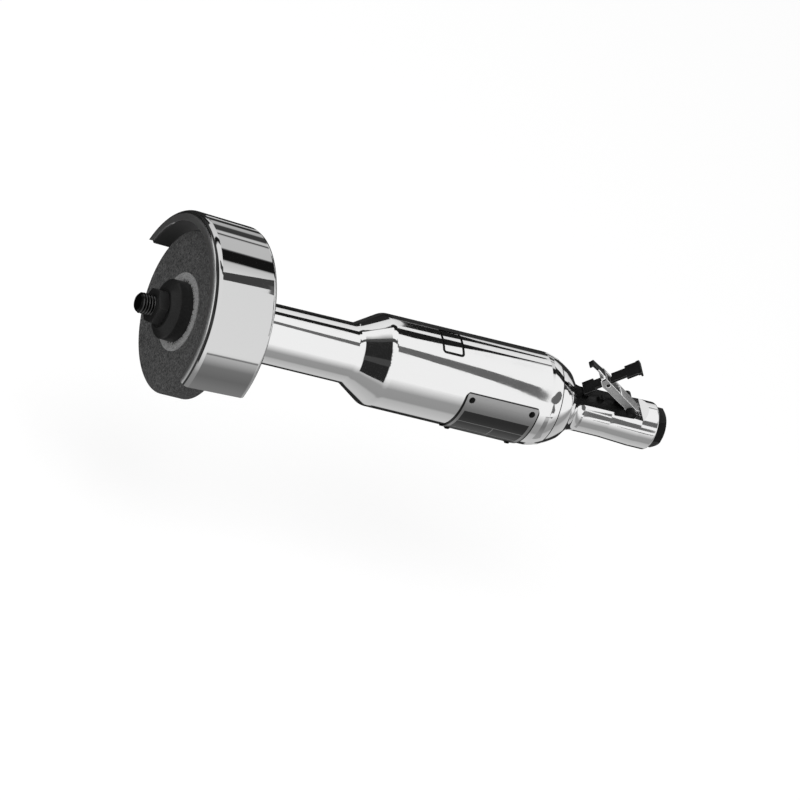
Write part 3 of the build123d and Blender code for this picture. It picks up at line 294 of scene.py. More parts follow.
# %% Stations of the strips
tube_r = 23.2
barrel_r = 35.5
grip_r = 16.8
boss_r = 18.1
guard_tilt = 2.7
card_shades = {"grey_card": 0.14, "dim_card": 0.068, "black_card": 0.012}
strips = {
    "guard_card": (
        "dim_card",
        0.45,
        [
            (-260, 74.5, 0, 14.5, 19.5),
            (19, 75.5, guard_tilt, 20.3, 25),
            (66, 73.2, guard_tilt, 16.7, 23.3),
        ],
    ),
    "slanting_card": (
        "grey_card",
        0.45,
        [
            (75, tube_r, 0, 21.8, 27),
            (120, tube_r, 0, 24, 29.5),
            (205, barrel_r, 0, 25.8, 33.8),
            (267, barrel_r, 0, 29, 39.5),
            (297, barrel_r, 0, 32.3, 44),
            (306, barrel_r, 0, 33.5, 46.5),
            (313, barrel_r, 0, 34.5, 48.5),
            (317, barrel_r, 0, 38, 49.5),
            (320, barrel_r, 0, 47.5, 50.5),
        ],
    ),
    "grip_card": (
        "grey_card",
        0.20,
        [
            (359, grip_r, 0, 54, 64),
            (362.5, grip_r, 0, 48.5, 66),
            (367, grip_r, 0, 49.5, 62.5),
            (391, grip_r, 0, 52.5, 62),
            (410, boss_r, 0, 56, 62.5),
            (424, boss_r, 0, 57, 63),
        ],
    ),
    "tube_edge": (
        "black_card",
        0.30,
        [
            (75, tube_r, 0, -24, -13.5),
            (165, tube_r, 0, -24, -13.5),
        ],
    ),
    "tube_line": (
        "black_card",
        0.25,
        [
            (75, tube_r, 0, -1, 8),
            (150, tube_r, 0, -1, 8),
            (205, barrel_r, 0, -1, 10),
            (235, barrel_r, 0, -1, 8.5),
            (267, barrel_r, 0, -1, 4.5),
            (310, barrel_r, 0, -1, 3),
        ],
    ),
    "barrel_edge": (
        "black_card",
        0.30,
        [
            (196, barrel_r, 0, -17.5, -5.5),
            (235, barrel_r, 0, -17.5, -6),
            (262, barrel_r, 0, -13.5, -8),
            (322, barrel_r, 0, -12, -9),
        ],
    ),
    "grip_line": (
        "black_card",
        0.20,
        [
            (372, grip_r, 0, 67.5, 68.3),
            (391, grip_r, 0, 67.8, 69.4),
            (424, boss_r, 0, 68.5, 70),
        ],
    ),
}
dome_card_size = (0.46, 0.44, 1)
dome_card_place = (0.85, -0.30, 0.40)
print(len(strips), "strips in", len(card_shades), "shades")

# %% Strips of card


def mirrored_point(along, radius, tilt, degrees, distance):
    """A point of what a round wall mirrors where it faces some angle, at some distance from it."""
    facing = Vector((0, -sin(radians(degrees)), cos(radians(degrees))))
    normal = cos(radians(tilt)) * facing + Vector((sin(radians(tilt)), 0, 0))
    onward = 2 * normal.dot(to_camera) * normal - to_camera
    return mm * (Vector((along, 0, 0)) + radius * facing) + distance * onward


def strip_card(name, distance, stations):
    """A strip that the tool mirrors between two angles at each station."""
    bpy.ops.object.select_all(action="DESELECT")
    bpy.ops.mesh.primitive_grid_add(x_subdivisions=len(stations) - 1, y_subdivisions=1, size=1.0)
    strip = bpy.context.object
    strip.name = name
    edges = [mirrored_point(*wall, low, distance) for *wall, low, high in stations]
    edges += [mirrored_point(*wall, high, distance) for *wall, low, high in stations]
    for vertex, point in zip(strip.data.vertices, edges):
        vertex.co = point
    print(name, "runs from", round(edges[0].x, 2), "to", round(edges[-1].x, 2))
    return strip


def card_finish(name, shade):
    """A material that only glows, as bright as a card of some shade."""
    made = bpy.data.materials.new(name)
    made.use_nodes = True
    made.node_tree.nodes.clear()
    glow = add(made.node_tree, "ShaderNodeEmission", {"Color": white, "Strength": shade})
    add(made.node_tree, "ShaderNodeOutputMaterial", {"Surface": glow.outputs[0]})
    return made


def hang(card, finish):
    """Show a card to reflections alone, as part of the stage."""
    card.data.materials.append(finish)
    for kind in ("camera", "diffuse", "transmission", "volume_scatter", "shadow"):
        setattr(card, "visible_" + kind, False)


bpy.ops.object.select_all(action="DESELECT")
bpy.ops.mesh.primitive_circle_add(vertices=32, radius=0.5, fill_type="NGON")
dome_card = bpy.context.object
dome_card.name = "dome_card"
bpy.ops.object.mode_set(mode="EDIT")
bpy.ops.mesh.select_all(action="SELECT")
bpy.ops.transform.resize(value=dome_card_size)
bpy.ops.transform.translate(value=dome_card_place)
bpy.ops.object.mode_set(mode="OBJECT")
card_finishes = {name: card_finish(name, shade) for name, shade in card_shades.items()}
hang(dome_card, card_finishes["grey_card"])
for name, (finish, distance, stations) in strips.items():
    hang(strip_card(name, distance, stations), card_finishes[finish])

# %% [markdown]
# ## Floor and lamps
# The tool hangs clear of a pale floor, so its shadow is broad and faint. The floor is a large plane that
# is scaled in edit mode. For the camera it adds a little light of its own, which lifts it to the white of
# the backdrop and leaves the shadow on it, and reflections pass it by, because the room's cards already
# say what they see below. Two large soft lamps, one above on the camera's side and one lower in front,
# give the dull pieces a light side and a dark side.

# %% Floor
floor_x = 0.2
floor_z = -0.20
floor_width = 12
floor_shade = 0.35
floor_lift = 0.69
bpy.ops.object.select_all(action="DESELECT")
bpy.ops.mesh.primitive_plane_add(size=1.0, location=(floor_x, 0, 0))
floor = bpy.context.object
floor.name = "studio_floor"
bpy.ops.object.mode_set(mode="EDIT")
bpy.ops.mesh.select_all(action="SELECT")
bpy.ops.transform.resize(value=(floor_width, floor_width, 1))
bpy.ops.mesh.subdivide(number_cuts=3)
bpy.ops.object.mode_set(mode="OBJECT")
floor.location.z = floor_z
floor.visible_glossy = False
bpy.ops.object.transform_apply(location=True, rotation=True, scale=True)
pale = bpy.data.materials.new("pale_floor")
pale.use_nodes = True
tree = pale.node_tree
tree.nodes.clear()
dull = add(tree, "ShaderNodeBsdfDiffuse", {"Color": plain_grey(floor_shade)})
light_path = add(tree, "ShaderNodeLightPath").outputs
lift = math(tree, "MULTIPLY", light_path["Is Camera Ray"], floor_lift)
glow = add(tree, "ShaderNodeEmission", {"Color": white, "Strength": lift})
lifted = add(tree, "ShaderNodeAddShader", {0: dull.outputs[0], 1: glow.outputs[0]})
add(tree, "ShaderNodeOutputMaterial", {"Surface": lifted.outputs[0]})
floor.data.materials.append(pale)
print(floor.name, "at", floor_z, "m")

# %% Lamps


def soft_lamp(name, place, size, watts):
    """A square lamp that faces the middle of the tool."""
    bpy.ops.object.light_add(type="AREA", location=place)
    lamp = bpy.context.object
    lamp.name = name
    lamp.data.shape = "SQUARE"
    lamp.data.size = size
    lamp.data.energy = watts
    lamp.visible_glossy = False
    lamp.rotation_euler = (look_at - Vector(place)).to_track_quat("-Z", "Y").to_euler()
    print(name, watts, "W")


soft_lamp("overhead_softbox", place=(-0.1, -0.5, 1.5), size=1.2, watts=14)
soft_lamp("front_softbox", place=(-1.3, -0.9, 0.5), size=0.9, watts=6)

# %% [markdown]
# ## Shared effects
# Some effects come back in several finishes, so each is a node group that is built once. The first gives
# a point's place on a round piece: how far along the tool, how far from its axis, and the angle round it.
# The second does the same for the throttle lever, which slants: how far ahead of its pivot a point lies.
# The third is slow patchiness, for polish and oil films. The fourth is grain, for pressed, cast and
# ground surfaces, with a height that a Bump node can use.

# %% Shared effects
lever_tilt = radians(31.2)
pivot = Vector(joints["lever_press"]["pos_m"])
noise_span = (0.3, 0.7)


def new_group(name, inputs, outputs):
    """An empty shader node group with named number sockets, and its two ends."""
    group = bpy.data.node_groups.new(name, "ShaderNodeTree")
    for title, start in inputs.items():
        group.interface.new_socket(title, in_out="INPUT", socket_type="NodeSocketFloat").default_value = start
    for title in outputs:
        group.interface.new_socket(title, in_out="OUTPUT", socket_type="NodeSocketFloat")
    return group, group.nodes.new("NodeGroupInput").outputs, group.nodes.new("NodeGroupOutput").inputs


def own_place(tree):
    """Where a point lies on its object, as a vector."""
    return add(tree, "ShaderNodeTexCoord").outputs["Object"]


round_place, _, end = new_group("place_round_the_axis", {}, ["Along", "Radius", "Angle"])
spot = add(round_place, "ShaderNodeSeparateXYZ", {0: own_place(round_place)}).outputs
squares = [math(round_place, "POWER", spot[side], 2.0) for side in "YZ"]
outward = math(round_place, "MULTIPLY", spot["Y"], -1.0)
round_place.links.new(spot["X"], end["Along"])
round_place.links.new(math(round_place, "SQRT", math(round_place, "ADD", *squares)), end["Radius"])
round_place.links.new(math(round_place, "ARCTAN2", outward, spot["Z"]), end["Angle"])

lever_place, _, end = new_group("place_along_the_lever", {}, ["Along"])
spot = add(lever_place, "ShaderNodeSeparateXYZ", {0: own_place(lever_place)}).outputs
ahead = math(lever_place, "MULTIPLY", math(lever_place, "SUBTRACT", pivot.x, spot["X"]), cos(lever_tilt))
raised = math(lever_place, "MULTIPLY", math(lever_place, "SUBTRACT", spot["Z"], pivot.z), sin(lever_tilt))
lever_place.links.new(math(lever_place, "ADD", ahead, raised), end["Along"])

patches, start, end = new_group("slow_patches", {"Scale": 40.0, "Low": 0.0, "High": 1.0}, ["Value"])
where = own_place(patches)
cloud = add(patches, "ShaderNodeTexNoise", {"Vector": where, "Scale": start["Scale"], "Detail": 4.0})
from_ends = {"From Min": noise_span[0], "From Max": noise_span[1]}
to_ends = {"To Min": start["Low"], "To Max": start["High"]}
spread = add(patches, "ShaderNodeMapRange", {"Value": cloud.outputs["Fac"], **from_ends, **to_ends})
patches.links.new(spread.outputs["Result"], end["Value"])

grain, start, end = new_group("surface_grain", {"Scale": 1500.0}, ["Tone", "Height"])
where = own_place(grain)
coarser = math(grain, "MULTIPLY", start["Scale"], 0.6)
fine = add(grain, "ShaderNodeTexNoise", {"Vector": where, "Scale": start["Scale"], "Detail": 3.0})
cells = add(grain, "ShaderNodeTexVoronoi", {"Vector": where, "Scale": coarser})
grain.links.new(fine.outputs["Fac"], end["Tone"])
grain.links.new(math(grain, "ADD", fine.outputs["Fac"], cells.outputs["Distance"]), end["Height"])
print("groups:", ", ".join(group.name for group in (round_place, lever_place, patches, grain)))

# %% [markdown]
# ## Finishes
# Each slot of the record gets one material. A small function starts a material with its Principled
# shader and the plain numbers that are the same all over, and the effects are linked in after that. The
# photograph has no colour, so neither have the visible finishes: they differ in shade and in gloss.

# %% Start of a finish
finishes = {}


def new_finish(slot, shade, rough, metal=1.0):
    """A material with its shader, kept under the slot's name."""
    made = bpy.data.materials.new(slot)
    made.use_nodes = True
    shader = made.node_tree.nodes["Principled BSDF"]
    shader.inputs["Base Color"].default_value = plain_grey(shade)
    shader.inputs["Roughness"].default_value = rough
    shader.inputs["Metallic"].default_value = metal
    finishes[slot] = made
    return made.node_tree, shader


def use(tree, group, **values):
    """Place a shared effect in a material with its own numbers, as its output sockets."""
    placed = add(tree, "ShaderNodeGroup", node_tree=group)
    for title, value in values.items():
        placed.inputs[title].default_value = value
    return placed.outputs


def two_tones(tree, shader, mask, low, high):
    """Blend the base colour between two greys by a mask."""
    tree.links.new(blend(tree, mask, plain_grey(low), plain_grey(high)), shader.inputs["Base Color"])


def cover(tree, shader, mask, shade):
    """Lay one more grey over the base colour that a shader has so far."""
    below = shader.inputs["Base Color"].links[0].from_socket
    tree.links.new(blend(tree, mask, below, plain_grey(shade)), shader.inputs["Base Color"])


def bump(tree, shader, height, depth, strength):
    """Let a height tilt the surface a little."""
    made = add(tree, "ShaderNodeBump", {"Height": height, "Distance": depth, "Strength": strength})
    tree.links.new(made.outputs["Normal"], shader.inputs["Normal"])


print("finishes start from the shader of Blender", bpy.app.version_string)

# %% [markdown]
# ### Polished aluminium
# The barrel and the handle are castings that were buffed bright. Buffing leaves the reflection a little
# wavy, and hazy in patches: a bump of almost no height and slow patches in the roughness give that. The
# frame that is sunk into the top of the barrel is darker and rougher than the rest. The place along the
# barrel and the distance from its axis find it.

# %% Polished aluminium
frame_x = (229.7 * mm, 249.0 * mm)
frame_r = (34.0 * mm, 35.35 * mm)
tree, shader = new_finish("polished_aluminium", 0.85, 0.06)
place = use(tree, round_place)
along_frame = between(tree, place["Along"], *frame_x)
sunk = math(tree, "MULTIPLY", along_frame, between(tree, place["Radius"], *frame_r))
two_tones(tree, shader, sunk, 0.85, 0.03)
hazy = use(tree, patches, Scale=55.0, Low=0.035, High=0.085)["Value"]
tree.links.new(math(tree, "ADD", hazy, math(tree, "MULTIPLY", sunk, 0.5)), shader.inputs["Roughness"])
wave = add(tree, "ShaderNodeTexNoise", {"Vector": own_place(tree), "Scale": 38.0})
bump(tree, shader, wave.outputs["Fac"], depth=0.4 * mm, strength=0.12)
print("polished_aluminium: wavy mirror")

# %% [markdown]
# ### Guard
# The guard is a drawn steel shell, polished outside. Its front lip is left satin and its inside is darker.
# Both follow the shape, so the masks come from the place along the axis and the distance from it: the
# middle of the wall, which tapers a little, divides inside from outside.

# %% Guard
guard_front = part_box("wheel_guard")[0].x
guard_back = 67.7 * mm
front_r = 76.3 * mm
front_round = 6 * mm
half_wall = 1.3 * mm
wall_drop = 2.3 * mm
wall_run = 48.7 * mm
lip_depth = 1.4 * mm
plate_depth = 1.5 * mm
satin_fade = (guard_front + 0.4 * mm, guard_front + 1.2 * mm)
tree, shader = new_finish("guard_steel", 0.88, 0.07)
place = use(tree, round_place)
taper = wall_drop / wall_run
middle_r = front_r - half_wall + taper * (guard_front + front_round)
middle = math(tree, "SUBTRACT", middle_r, math(tree, "MULTIPLY", place["Along"], taper))
under_wall = math(tree, "LESS_THAN", place["Radius"], middle)
in_shell = between(tree, place["Along"], guard_front + lip_depth, guard_back - plate_depth)
inside = math(tree, "MULTIPLY", under_wall, in_shell)
lip = math(tree, "SUBTRACT", 1.0, ramp_between(tree, place["Along"], *satin_fade))
two_tones(tree, shader, inside, 0.66, 0.10)
cover(tree, shader, lip, 0.52)
satin = math(tree, "MAXIMUM", inside, lip)
rough = add(tree, "ShaderNodeMix", {"Factor": satin, "A": 0.05, "B": 0.5}, data_type="FLOAT")
haze = use(tree, patches, Scale=60.0, Low=-0.03, High=-0.01)["Value"]
tree.links.new(math(tree, "ADD", rough.outputs["Result"], haze), shader.inputs["Roughness"])
print("guard_steel: polished outside, satin lip, sooted inside")

# %% [markdown]
# ### Black and dark steel
# Bracket, lock-off lever, clamp screw and inlet bushing are blackened, the wheel's flanges and nut are
# dark from oil and dust. A near black base with a half gloss shows edges only where light grazes them.
# Grain breaks the gloss up.

# %% Black and dark steel
dark_span = (0.35, 0.65)


def dark_steel(slot, low, high, rough, shine, scale):
    """A dark half-gloss finish with grain."""
    tree, shader = new_finish(slot, high, rough, metal=0.0)
    fine = use(tree, grain, Scale=scale)
    two_tones(tree, shader, ramp_between(tree, fine["Tone"], *dark_span), low, high)
    shader.inputs["Specular IOR Level"].default_value = shine
    gloss = use(tree, patches, Scale=180.0, Low=rough - 0.08, High=rough + 0.12)["Value"]
    tree.links.new(gloss, shader.inputs["Roughness"])
    bump(tree, shader, fine["Height"], depth=0.03 * mm, strength=0.5)
    print(slot, "from", low, "to", high)


dark_steel("blackened_steel", 0.003, 0.009, rough=0.40, shine=0.12, scale=2600.0)
dark_steel("dark_flange_steel", 0.007, 0.021, rough=0.38, shine=0.28, scale=2200.0)

# %% [markdown]
# ### Spindle, lever, pins and bearings
# The distance from the axis tells the roots of the spindle's thread from its crests. The roots are darker,
# a painted shade in the grooves where oil also sits, and the crests are lighter, a painted highlight on
# metal that is also rubbed there. The throttle lever is pressed steel with a dull rolled grain and a black
# dipped tongue: how far a point lies along the lever says which of the two it is, and the grain makes the
# edge of the dip ragged. Bearings and springs are clean bright steel, and pins and screws are clean dark
# steel.

# %% Spindle and lever steel
crest_r = (7.2 * mm, 7.95 * mm)
dip_line = 40.5 * mm
dip_fade = 0.3 * mm
dip_ragged = 1.2 * mm
tree, shader = new_finish("spindle_steel", 0.25, 0.3)
place = use(tree, round_place)
# Painted shade and highlight: the thread's roots are darkened and its crests lightened.
two_tones(tree, shader, ramp_between(tree, place["Radius"], *crest_r), 0.02, 0.14)
oily = use(tree, patches, Scale=200.0, Low=0.22, High=0.42)["Value"]
tree.links.new(oily, shader.inputs["Roughness"])

tree, shader = new_finish("lever_steel", 0.42, 0.34)
rolled = use(tree, grain, Scale=1400.0)
two_tones(tree, shader, ramp_between(tree, rolled["Tone"], *noise_span), 0.36, 0.50)
ragged = math(tree, "MULTIPLY", math(tree, "SUBTRACT", rolled["Tone"], 0.5), dip_ragged)
along_lever = math(tree, "ADD", use(tree, lever_place)["Along"], ragged)
dipped = ramp_between(tree, along_lever, dip_line, dip_line + dip_fade)
cover(tree, shader, dipped, 0.006)
bare = math(tree, "SUBTRACT", 1.0, dipped)
tree.links.new(math(tree, "MULTIPLY", bare, 0.35), shader.inputs["Metallic"])
shader.inputs["Specular IOR Level"].default_value = 0.2
dulled = use(tree, patches, Scale=120.0, Low=0.28, High=0.46)["Value"]
tree.links.new(dulled, shader.inputs["Roughness"])
bump(tree, shader, rolled["Height"], depth=0.03 * mm, strength=0.4)
print("spindle_steel, and lever_steel with its tongue dipped from", round(dip_line / mm, 1), "mm on")

# %% Clean steel


def clean_steel(slot, shade, rough, scale):
    """Clean metal that varies a little in shade and gloss."""
    tree, shader = new_finish(slot, shade, rough)
    gloss = use(tree, patches, Scale=scale, Low=rough * 0.7, High=rough * 1.4)["Value"]
    tree.links.new(gloss, shader.inputs["Roughness"])
    fine = use(tree, grain, Scale=scale * 12)
    two_tones(tree, shader, ramp_between(tree, fine["Tone"], *noise_span), shade * 0.8, shade * 1.1)
    print(slot, "about", shade)


clean_steel("pin_steel", 0.05, rough=0.36, scale=200.0)
clean_steel("bearing_steel", 0.62, rough=0.10, scale=150.0)
clean_steel("spring_steel", 0.35, rough=0.30, scale=300.0)
clean_steel("screw_steel", 0.012, rough=0.40, scale=260.0)

# %% [markdown]
# ### Wheel and blotters
# The wheel is bonded grit: pale and dark grains a few tenths of a millimetre across in a dark bond, with
# pores between them. The blotter is a thick grey paper washer, and where the flange has bitten into it
# its edge is ragged and dark: a noise that runs round the washer says how far the bite reaches.

# %% Wheel and blotters
pale_grains = (0.72, 0.95)
bite_from = 22.8 * mm
bite_depth = 2.6 * mm
bite_fade = 0.2 * mm
bite_span = (0.46, 0.62)
bites_round = 4.5
bite_scale = 6.0
tree, shader = new_finish("abrasive", 0.05, 0.9, metal=0.0)
grit = use(tree, grain, Scale=760.0)
speck = add(tree, "ShaderNodeTexVoronoi", {"Vector": own_place(tree), "Scale": 1500.0})
spark = math(tree, "MULTIPLY", ramp_between(tree, speck.outputs["Color"], *pale_grains), 0.5)
bond = math(tree, "MULTIPLY", ramp_between(tree, grit["Tone"], *noise_span), 0.5)
two_tones(tree, shader, math(tree, "ADD", bond, spark), 0.018, 0.21)
bump(tree, shader, grit["Height"], depth=0.1 * mm, strength=0.6)

tree, shader = new_finish("blotter_paper", 0.1, 0.95, metal=0.0)
place = use(tree, round_place)
fibre = use(tree, grain, Scale=900.0)
stretched = math(tree, "MULTIPLY", place["Angle"], bites_round)
around = add(tree, "ShaderNodeCombineXYZ", {"X": stretched, "Y": place["Radius"]}).outputs[0]
torn = add(tree, "ShaderNodeTexNoise", {"Vector": around, "Scale": bite_scale, "Detail": 3.0}).outputs["Fac"]
bite = math(tree, "MULTIPLY", ramp_between(tree, torn, *bite_span), bite_depth)
beyond = math(tree, "SUBTRACT", place["Radius"], math(tree, "ADD", bite_from, bite))
clean = ramp_between(tree, beyond, -bite_fade, bite_fade)
paper = math(tree, "MULTIPLY", clean, ramp_between(tree, fibre["Tone"], 0.0, 0.75))
two_tones(tree, shader, paper, 0.010, 0.44)
bump(tree, shader, fibre["Height"], depth=0.05 * mm, strength=0.5)
print("abrasive, blotter_paper")

# %% [markdown]
# ### Name plate
# The plate is thin sheet metal with a pale border, a pale band along its top and a dark field below,
# ruled into boxes by thin lines. It stays blank. Its outermost rim is darkened, a painted shadow line
# along its edge. The fields follow the plate, so they are drawn by the angle round the barrel and the
# place along it, both counted from -1 to 1 over the plate.

# %% Name plate
plate_low, plate_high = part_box("nameplate")
plate_mid_x = (plate_low.x + plate_high.x) / 2
half_len = (plate_high.x - plate_low.x) / 2
plate_turn = radians(101.5)
half_arc = radians(83.0 / 2)
border_at = 0.90
field_edge = 0.89
band_line = -0.42
box_line = 0.02
foot_line = 0.45
divider_line = 0.1
thick = 0.012
thin = 0.010
hair = 0.008
plate_rim_shadow = (0.962, 0.972)
tree, shader = new_finish("plate_aluminium", 0.4, 0.35)
place = use(tree, round_place)
u = math(tree, "DIVIDE", math(tree, "SUBTRACT", place["Along"], plate_mid_x), half_len)
v = math(tree, "DIVIDE", math(tree, "SUBTRACT", place["Angle"], plate_turn), half_arc)


def line_at(tree, value, spot, half_width):
    """1 on a thin line where a value passes a spot."""
    return math(tree, "LESS_THAN", math(tree, "ABSOLUTE", math(tree, "SUBTRACT", value, spot)), half_width)


def either(tree, *masks):
    """The highest of some masks."""
    joined = masks[0]
    for mask in masks[1:]:
        joined = math(tree, "MAXIMUM", joined, mask)
    return joined


edge = either(tree, math(tree, "ABSOLUTE", u), math(tree, "ABSOLUTE", v))
field = math(tree, "LESS_THAN", edge, field_edge)
top_band = math(tree, "MULTIPLY", math(tree, "LESS_THAN", v, band_line), field)
lower = math(tree, "GREATER_THAN", v, box_line)
divider = math(tree, "MULTIPLY", line_at(tree, u, divider_line, hair), lower)
level_lines = {band_line: thick, box_line: thin, foot_line: thin}
level_rules = [line_at(tree, v, line, half_width) for line, half_width in level_lines.items()]
rules = math(tree, "MULTIPLY", either(tree, *level_rules, divider), field)
pale_parts = either(tree, top_band, line_at(tree, edge, border_at, thick), rules)
etched = math(tree, "MULTIPLY", field, math(tree, "SUBTRACT", 1.0, pale_parts))
two_tones(tree, shader, etched, 0.38, 0.07)
# Painted shadow: the plate's outermost rim is darkened as the shadow line along its edge.
cover(tree, shader, ramp_between(tree, edge, *plate_rim_shadow), 0.02)
print("plate_aluminium: blank fields on", round(2 * half_len / mm, 1), "mm of plate")

# %% [markdown]
# ### Finishes of the hidden pieces
# The motor, the valve and the seals are inside, but they are real pieces and each gets the finish of
# what it is made of: cast iron, bronze, felt, rubber and the brown laminate of the vanes.

# %% Hidden finishes


def dull_finish(slot, low, high, rough, metal, scale):
    """A grained material in two tones of one colour."""
    tree, shader = new_finish(slot, 0.5, rough, metal)
    fine = use(tree, grain, Scale=scale)
    tones = blend(tree, ramp_between(tree, fine["Tone"], *noise_span), (*low, 1), (*high, 1))
    tree.links.new(tones, shader.inputs["Base Color"])
    bump(tree, shader, fine["Height"], depth=0.05 * mm, strength=0.5)


dull_finish("cast_iron", (0.05, 0.05, 0.05), (0.09, 0.09, 0.09), rough=0.6, metal=0.6, scale=900.0)
dull_finish("bronze", (0.42, 0.26, 0.10), (0.60, 0.40, 0.17), rough=0.35, metal=1.0, scale=700.0)
dull_finish("felt", (0.20, 0.19, 0.18), (0.34, 0.33, 0.31), rough=1.0, metal=0.0, scale=1600.0)
dull_finish("rubber", (0.006, 0.006, 0.006), (0.014, 0.014, 0.014), rough=0.7, metal=0.0, scale=1800.0)
dull_finish("vane_laminate", (0.16, 0.08, 0.03), (0.26, 0.14, 0.06), rough=0.7, metal=0.0, scale=800.0)
for name, solid in nodes.items():
    solid.data.materials.clear()
    solid.data.materials.append(finishes[slot_of[name]])
print(len(finishes), "finishes on", len(nodes), "solids")

# %% [markdown]
# ## Softened copies
# A pressed lever, a forged nut and a cast bracket have no knife edges: paint and plating round them off,
# and hands rub them bright. A copy of a solid is merged into one skin, its flat triangles are dissolved
# into whole faces, and a Bevel modifier rounds every edge that is sharper than a set angle. The new faces
# take a second, lighter finish, which is the rubbed metal and also a painted highlight along the edges,
# and which stays black at the tip of the lever. The copy then stands for its solid and moves with it.

# %% Worn edges with painted highlights
tip_line = 51.0 * mm


def worn_and_highlit_finish(name, low, high, rough, metal):
    """The rubbed look of an edge with a painted highlight on it, patchy along its length."""
    made = bpy.data.materials.new(name)
    made.use_nodes = True
    tree = made.node_tree
    shader = tree.nodes["Principled BSDF"]
    shader.inputs["Metallic"].default_value = metal
    wear_and_highlight = use(tree, patches, Scale=420.0, Low=0.0, High=1.0)["Value"]
    two_tones(tree, shader, wear_and_highlight, low, high)
    gloss = use(tree, patches, Scale=260.0, Low=rough - 0.1, High=rough + 0.1)["Value"]
    tree.links.new(gloss, shader.inputs["Roughness"])
    return made


# These lighter edge finishes stand for wear and also paint on the highlights that rounded edges catch.
rubbed_black_highlight = worn_and_highlit_finish("rubbed_black_highlight", 0.02, 0.10, rough=0.34, metal=0.5)
rubbed_dark_highlight = worn_and_highlit_finish("rubbed_dark_steel", 0.04, 0.14, rough=0.36, metal=0.5)
rubbed_lever_highlight = worn_and_highlit_finish("rubbed_lever_steel", 0.85, 1.0, rough=0.40, metal=0.0)
tree = rubbed_lever_highlight.node_tree
on_tip = ramp_between(tree, use(tree, lever_place)["Along"], tip_line, tip_line + dip_fade)
cover(tree, tree.nodes["Principled BSDF"], on_tip, 0.012)
print("rubbed edges:", rubbed_black_highlight.name, rubbed_dark_highlight.name, rubbed_lever_highlight.name)

# %% Copy of a solid
merge_gap = 0.002 * mm


def only(piece):
    """Select one piece and nothing else."""
    bpy.ops.object.select_all(action="DESELECT")
    piece.select_set(True)
    bpy.context.view_layer.objects.active = piece


def apply_modifier(piece, kind, **settings):
    """Give a piece a modifier, set it and make its result the mesh."""
    only(piece)
    made = piece.modifiers.new(kind.lower(), kind)
    for name, value in settings.items():
        setattr(made, name, value)
    bpy.ops.object.modifier_apply(modifier=made.name)


def skin_of(node, name, flat=0.5):
    """A merged copy of a solid as its own piece, its faces whole where they are flat to some degrees."""
    piece = bpy.data.objects.new(name, nodes[node].data.copy())
    scene.collection.objects.link(piece)
    only(piece)
    bpy.ops.mesh.customdata_custom_splitnormals_clear()
    bpy.ops.object.mode_set(mode="EDIT")
    bpy.ops.mesh.select_all(action="SELECT")
    bpy.ops.mesh.remove_doubles(threshold=merge_gap)
    bpy.ops.mesh.dissolve_limited(angle_limit=radians(flat))
    bpy.ops.object.mode_set(mode="OBJECT")
    return piece


def stand_for(piece, node):
    """Let a piece take a solid's place, body and slot."""
    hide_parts(node)
    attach(piece, body_of[node])
    print(piece.name, len(piece.data.polygons), "faces")


print("copies are merged at", merge_gap, "m")

# %% Soften the pieces
sharp_from = radians(32)
smooth_below = radians(40)


def soften(node, width, edge_finish, held_back=True):
    """Round the edges of a copy, give them their own finish, and let it stand for the solid."""
    piece = skin_of(node, node + "_softened")
    piece.data.materials.append(edge_finish)
    sharp = {"limit_method": "ANGLE", "angle_limit": sharp_from, "use_clamp_overlap": held_back}
    apply_modifier(piece, "BEVEL", width=width, segments=2, material=1, **sharp)
    only(piece)
    bpy.ops.object.shade_smooth_by_angle(angle=smooth_below)
    stand_for(piece, node)


soften("throttle_lever", 0.55 * mm, rubbed_lever_highlight, held_back=False)
soften("lock_off_lever", 0.40 * mm, rubbed_black_highlight)
soften("lever_bracket", 0.35 * mm, rubbed_black_highlight)
soften("spindle_nut", 0.30 * mm, rubbed_dark_highlight)
soften("inlet_bushing", 0.40 * mm, rubbed_black_highlight)
soften("guard_clamp_screw", 0.25 * mm, rubbed_black_highlight)
soften("guard_clamp_nut", 0.25 * mm, rubbed_black_highlight)

# %% [markdown]
# ## Screw thread
# The free end of the spindle carries the thread that the wheel nut runs on. A thread is one groove that
# winds round a rod, so a cutter is wound the same way: three points make a V, the Screw modifier turns it
# round the axis while it moves along, and the two ends are filled. Cut from a merged copy of the spindle,
# it leaves crests at the full size and roots that lie deeper.

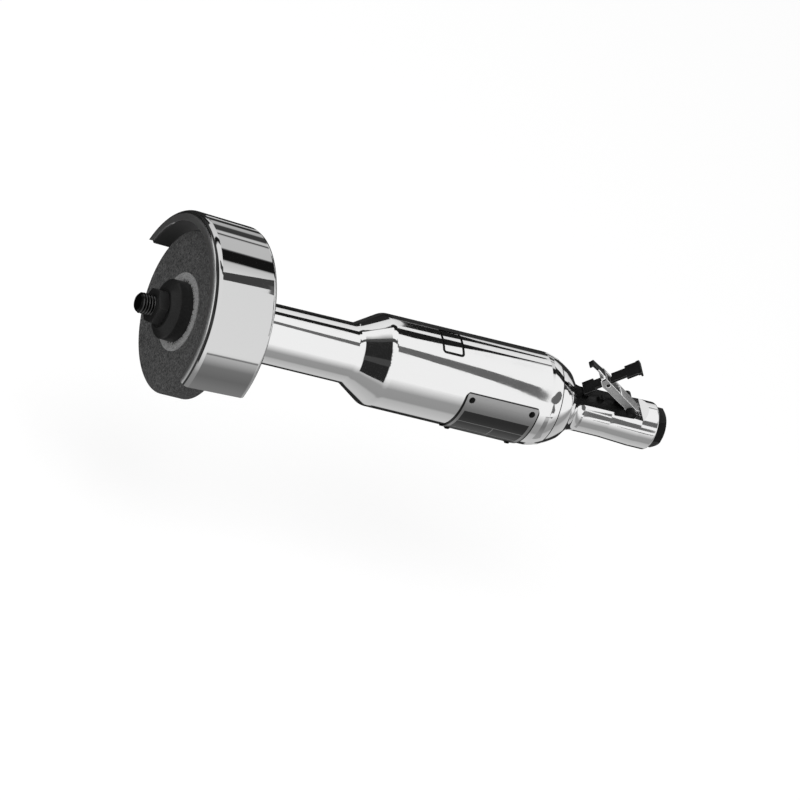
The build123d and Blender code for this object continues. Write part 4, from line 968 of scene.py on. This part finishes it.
# %% Screw thread
thread_pitch = 2.3 * mm
thread_r = 8.0 * mm
root_r = 6.6 * mm
thread_start = -12.8 * mm
turns = 6
steps_a_turn = 64
groove_share = 0.47
past_crest = 0.25
weld_gap = 0.001 * mm
thread_smooth_below = radians(35)


def groove_cutter(name):
    """A wound V that reaches from outside the crest down to the root."""
    bpy.ops.object.select_all(action="DESELECT")
    bpy.ops.mesh.primitive_circle_add(vertices=3, radius=mm)
    cutter = bpy.context.object
    cutter.name = name
    half = groove_share * thread_pitch * (1 + past_crest)
    outer_r = thread_r + past_crest * (thread_r - root_r)
    corners = [(thread_start - half, outer_r), (thread_start, root_r), (thread_start + half, outer_r)]
    for vertex, (x, r) in zip(cutter.data.vertices, corners):
        vertex.co = (x, 0, r)
    winding = {"axis": "X", "angle": 2 * pi, "screw_offset": thread_pitch, "iterations": turns}
    apply_modifier(cutter, "SCREW", steps=steps_a_turn, render_steps=steps_a_turn, **winding)
    bpy.ops.object.mode_set(mode="EDIT")
    bpy.ops.mesh.select_all(action="SELECT")
    bpy.ops.mesh.remove_doubles(threshold=weld_gap)
    bpy.ops.mesh.select_all(action="SELECT")
    bpy.ops.mesh.fill_holes(sides=3)
    bpy.ops.mesh.select_all(action="SELECT")
    bpy.ops.mesh.normals_make_consistent(inside=False)
    bpy.ops.object.mode_set(mode="OBJECT")
    return cutter


threaded = skin_of("spindle", "spindle_threaded")
groove = groove_cutter("spindle_groove")
apply_modifier(threaded, "BOOLEAN", operation="DIFFERENCE", solver="EXACT", object=groove)
bpy.data.objects.remove(groove, do_unlink=True)
only(threaded)
bpy.ops.object.shade_smooth_by_angle(angle=thread_smooth_below)
stand_for(threaded, "spindle")

# %% [markdown]
# ## Valve spring
# Pressing the lever pushes the plunger and the valve down, and the spring under the valve gets shorter by
# the same stroke. Its foot stays on the plug. A merged copy of the spring, shaded smooth and with a mesh of
# its own, stands for it and moves with it.

# %% Valve spring
coil_smooth_below = radians(50)
spring = skin_of("valve_spring", "valve_spring_coiled", flat=0.05)
bpy.ops.object.shade_smooth_by_angle(angle=coil_smooth_below)
stand_for(spring, "valve_spring")
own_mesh(spring)
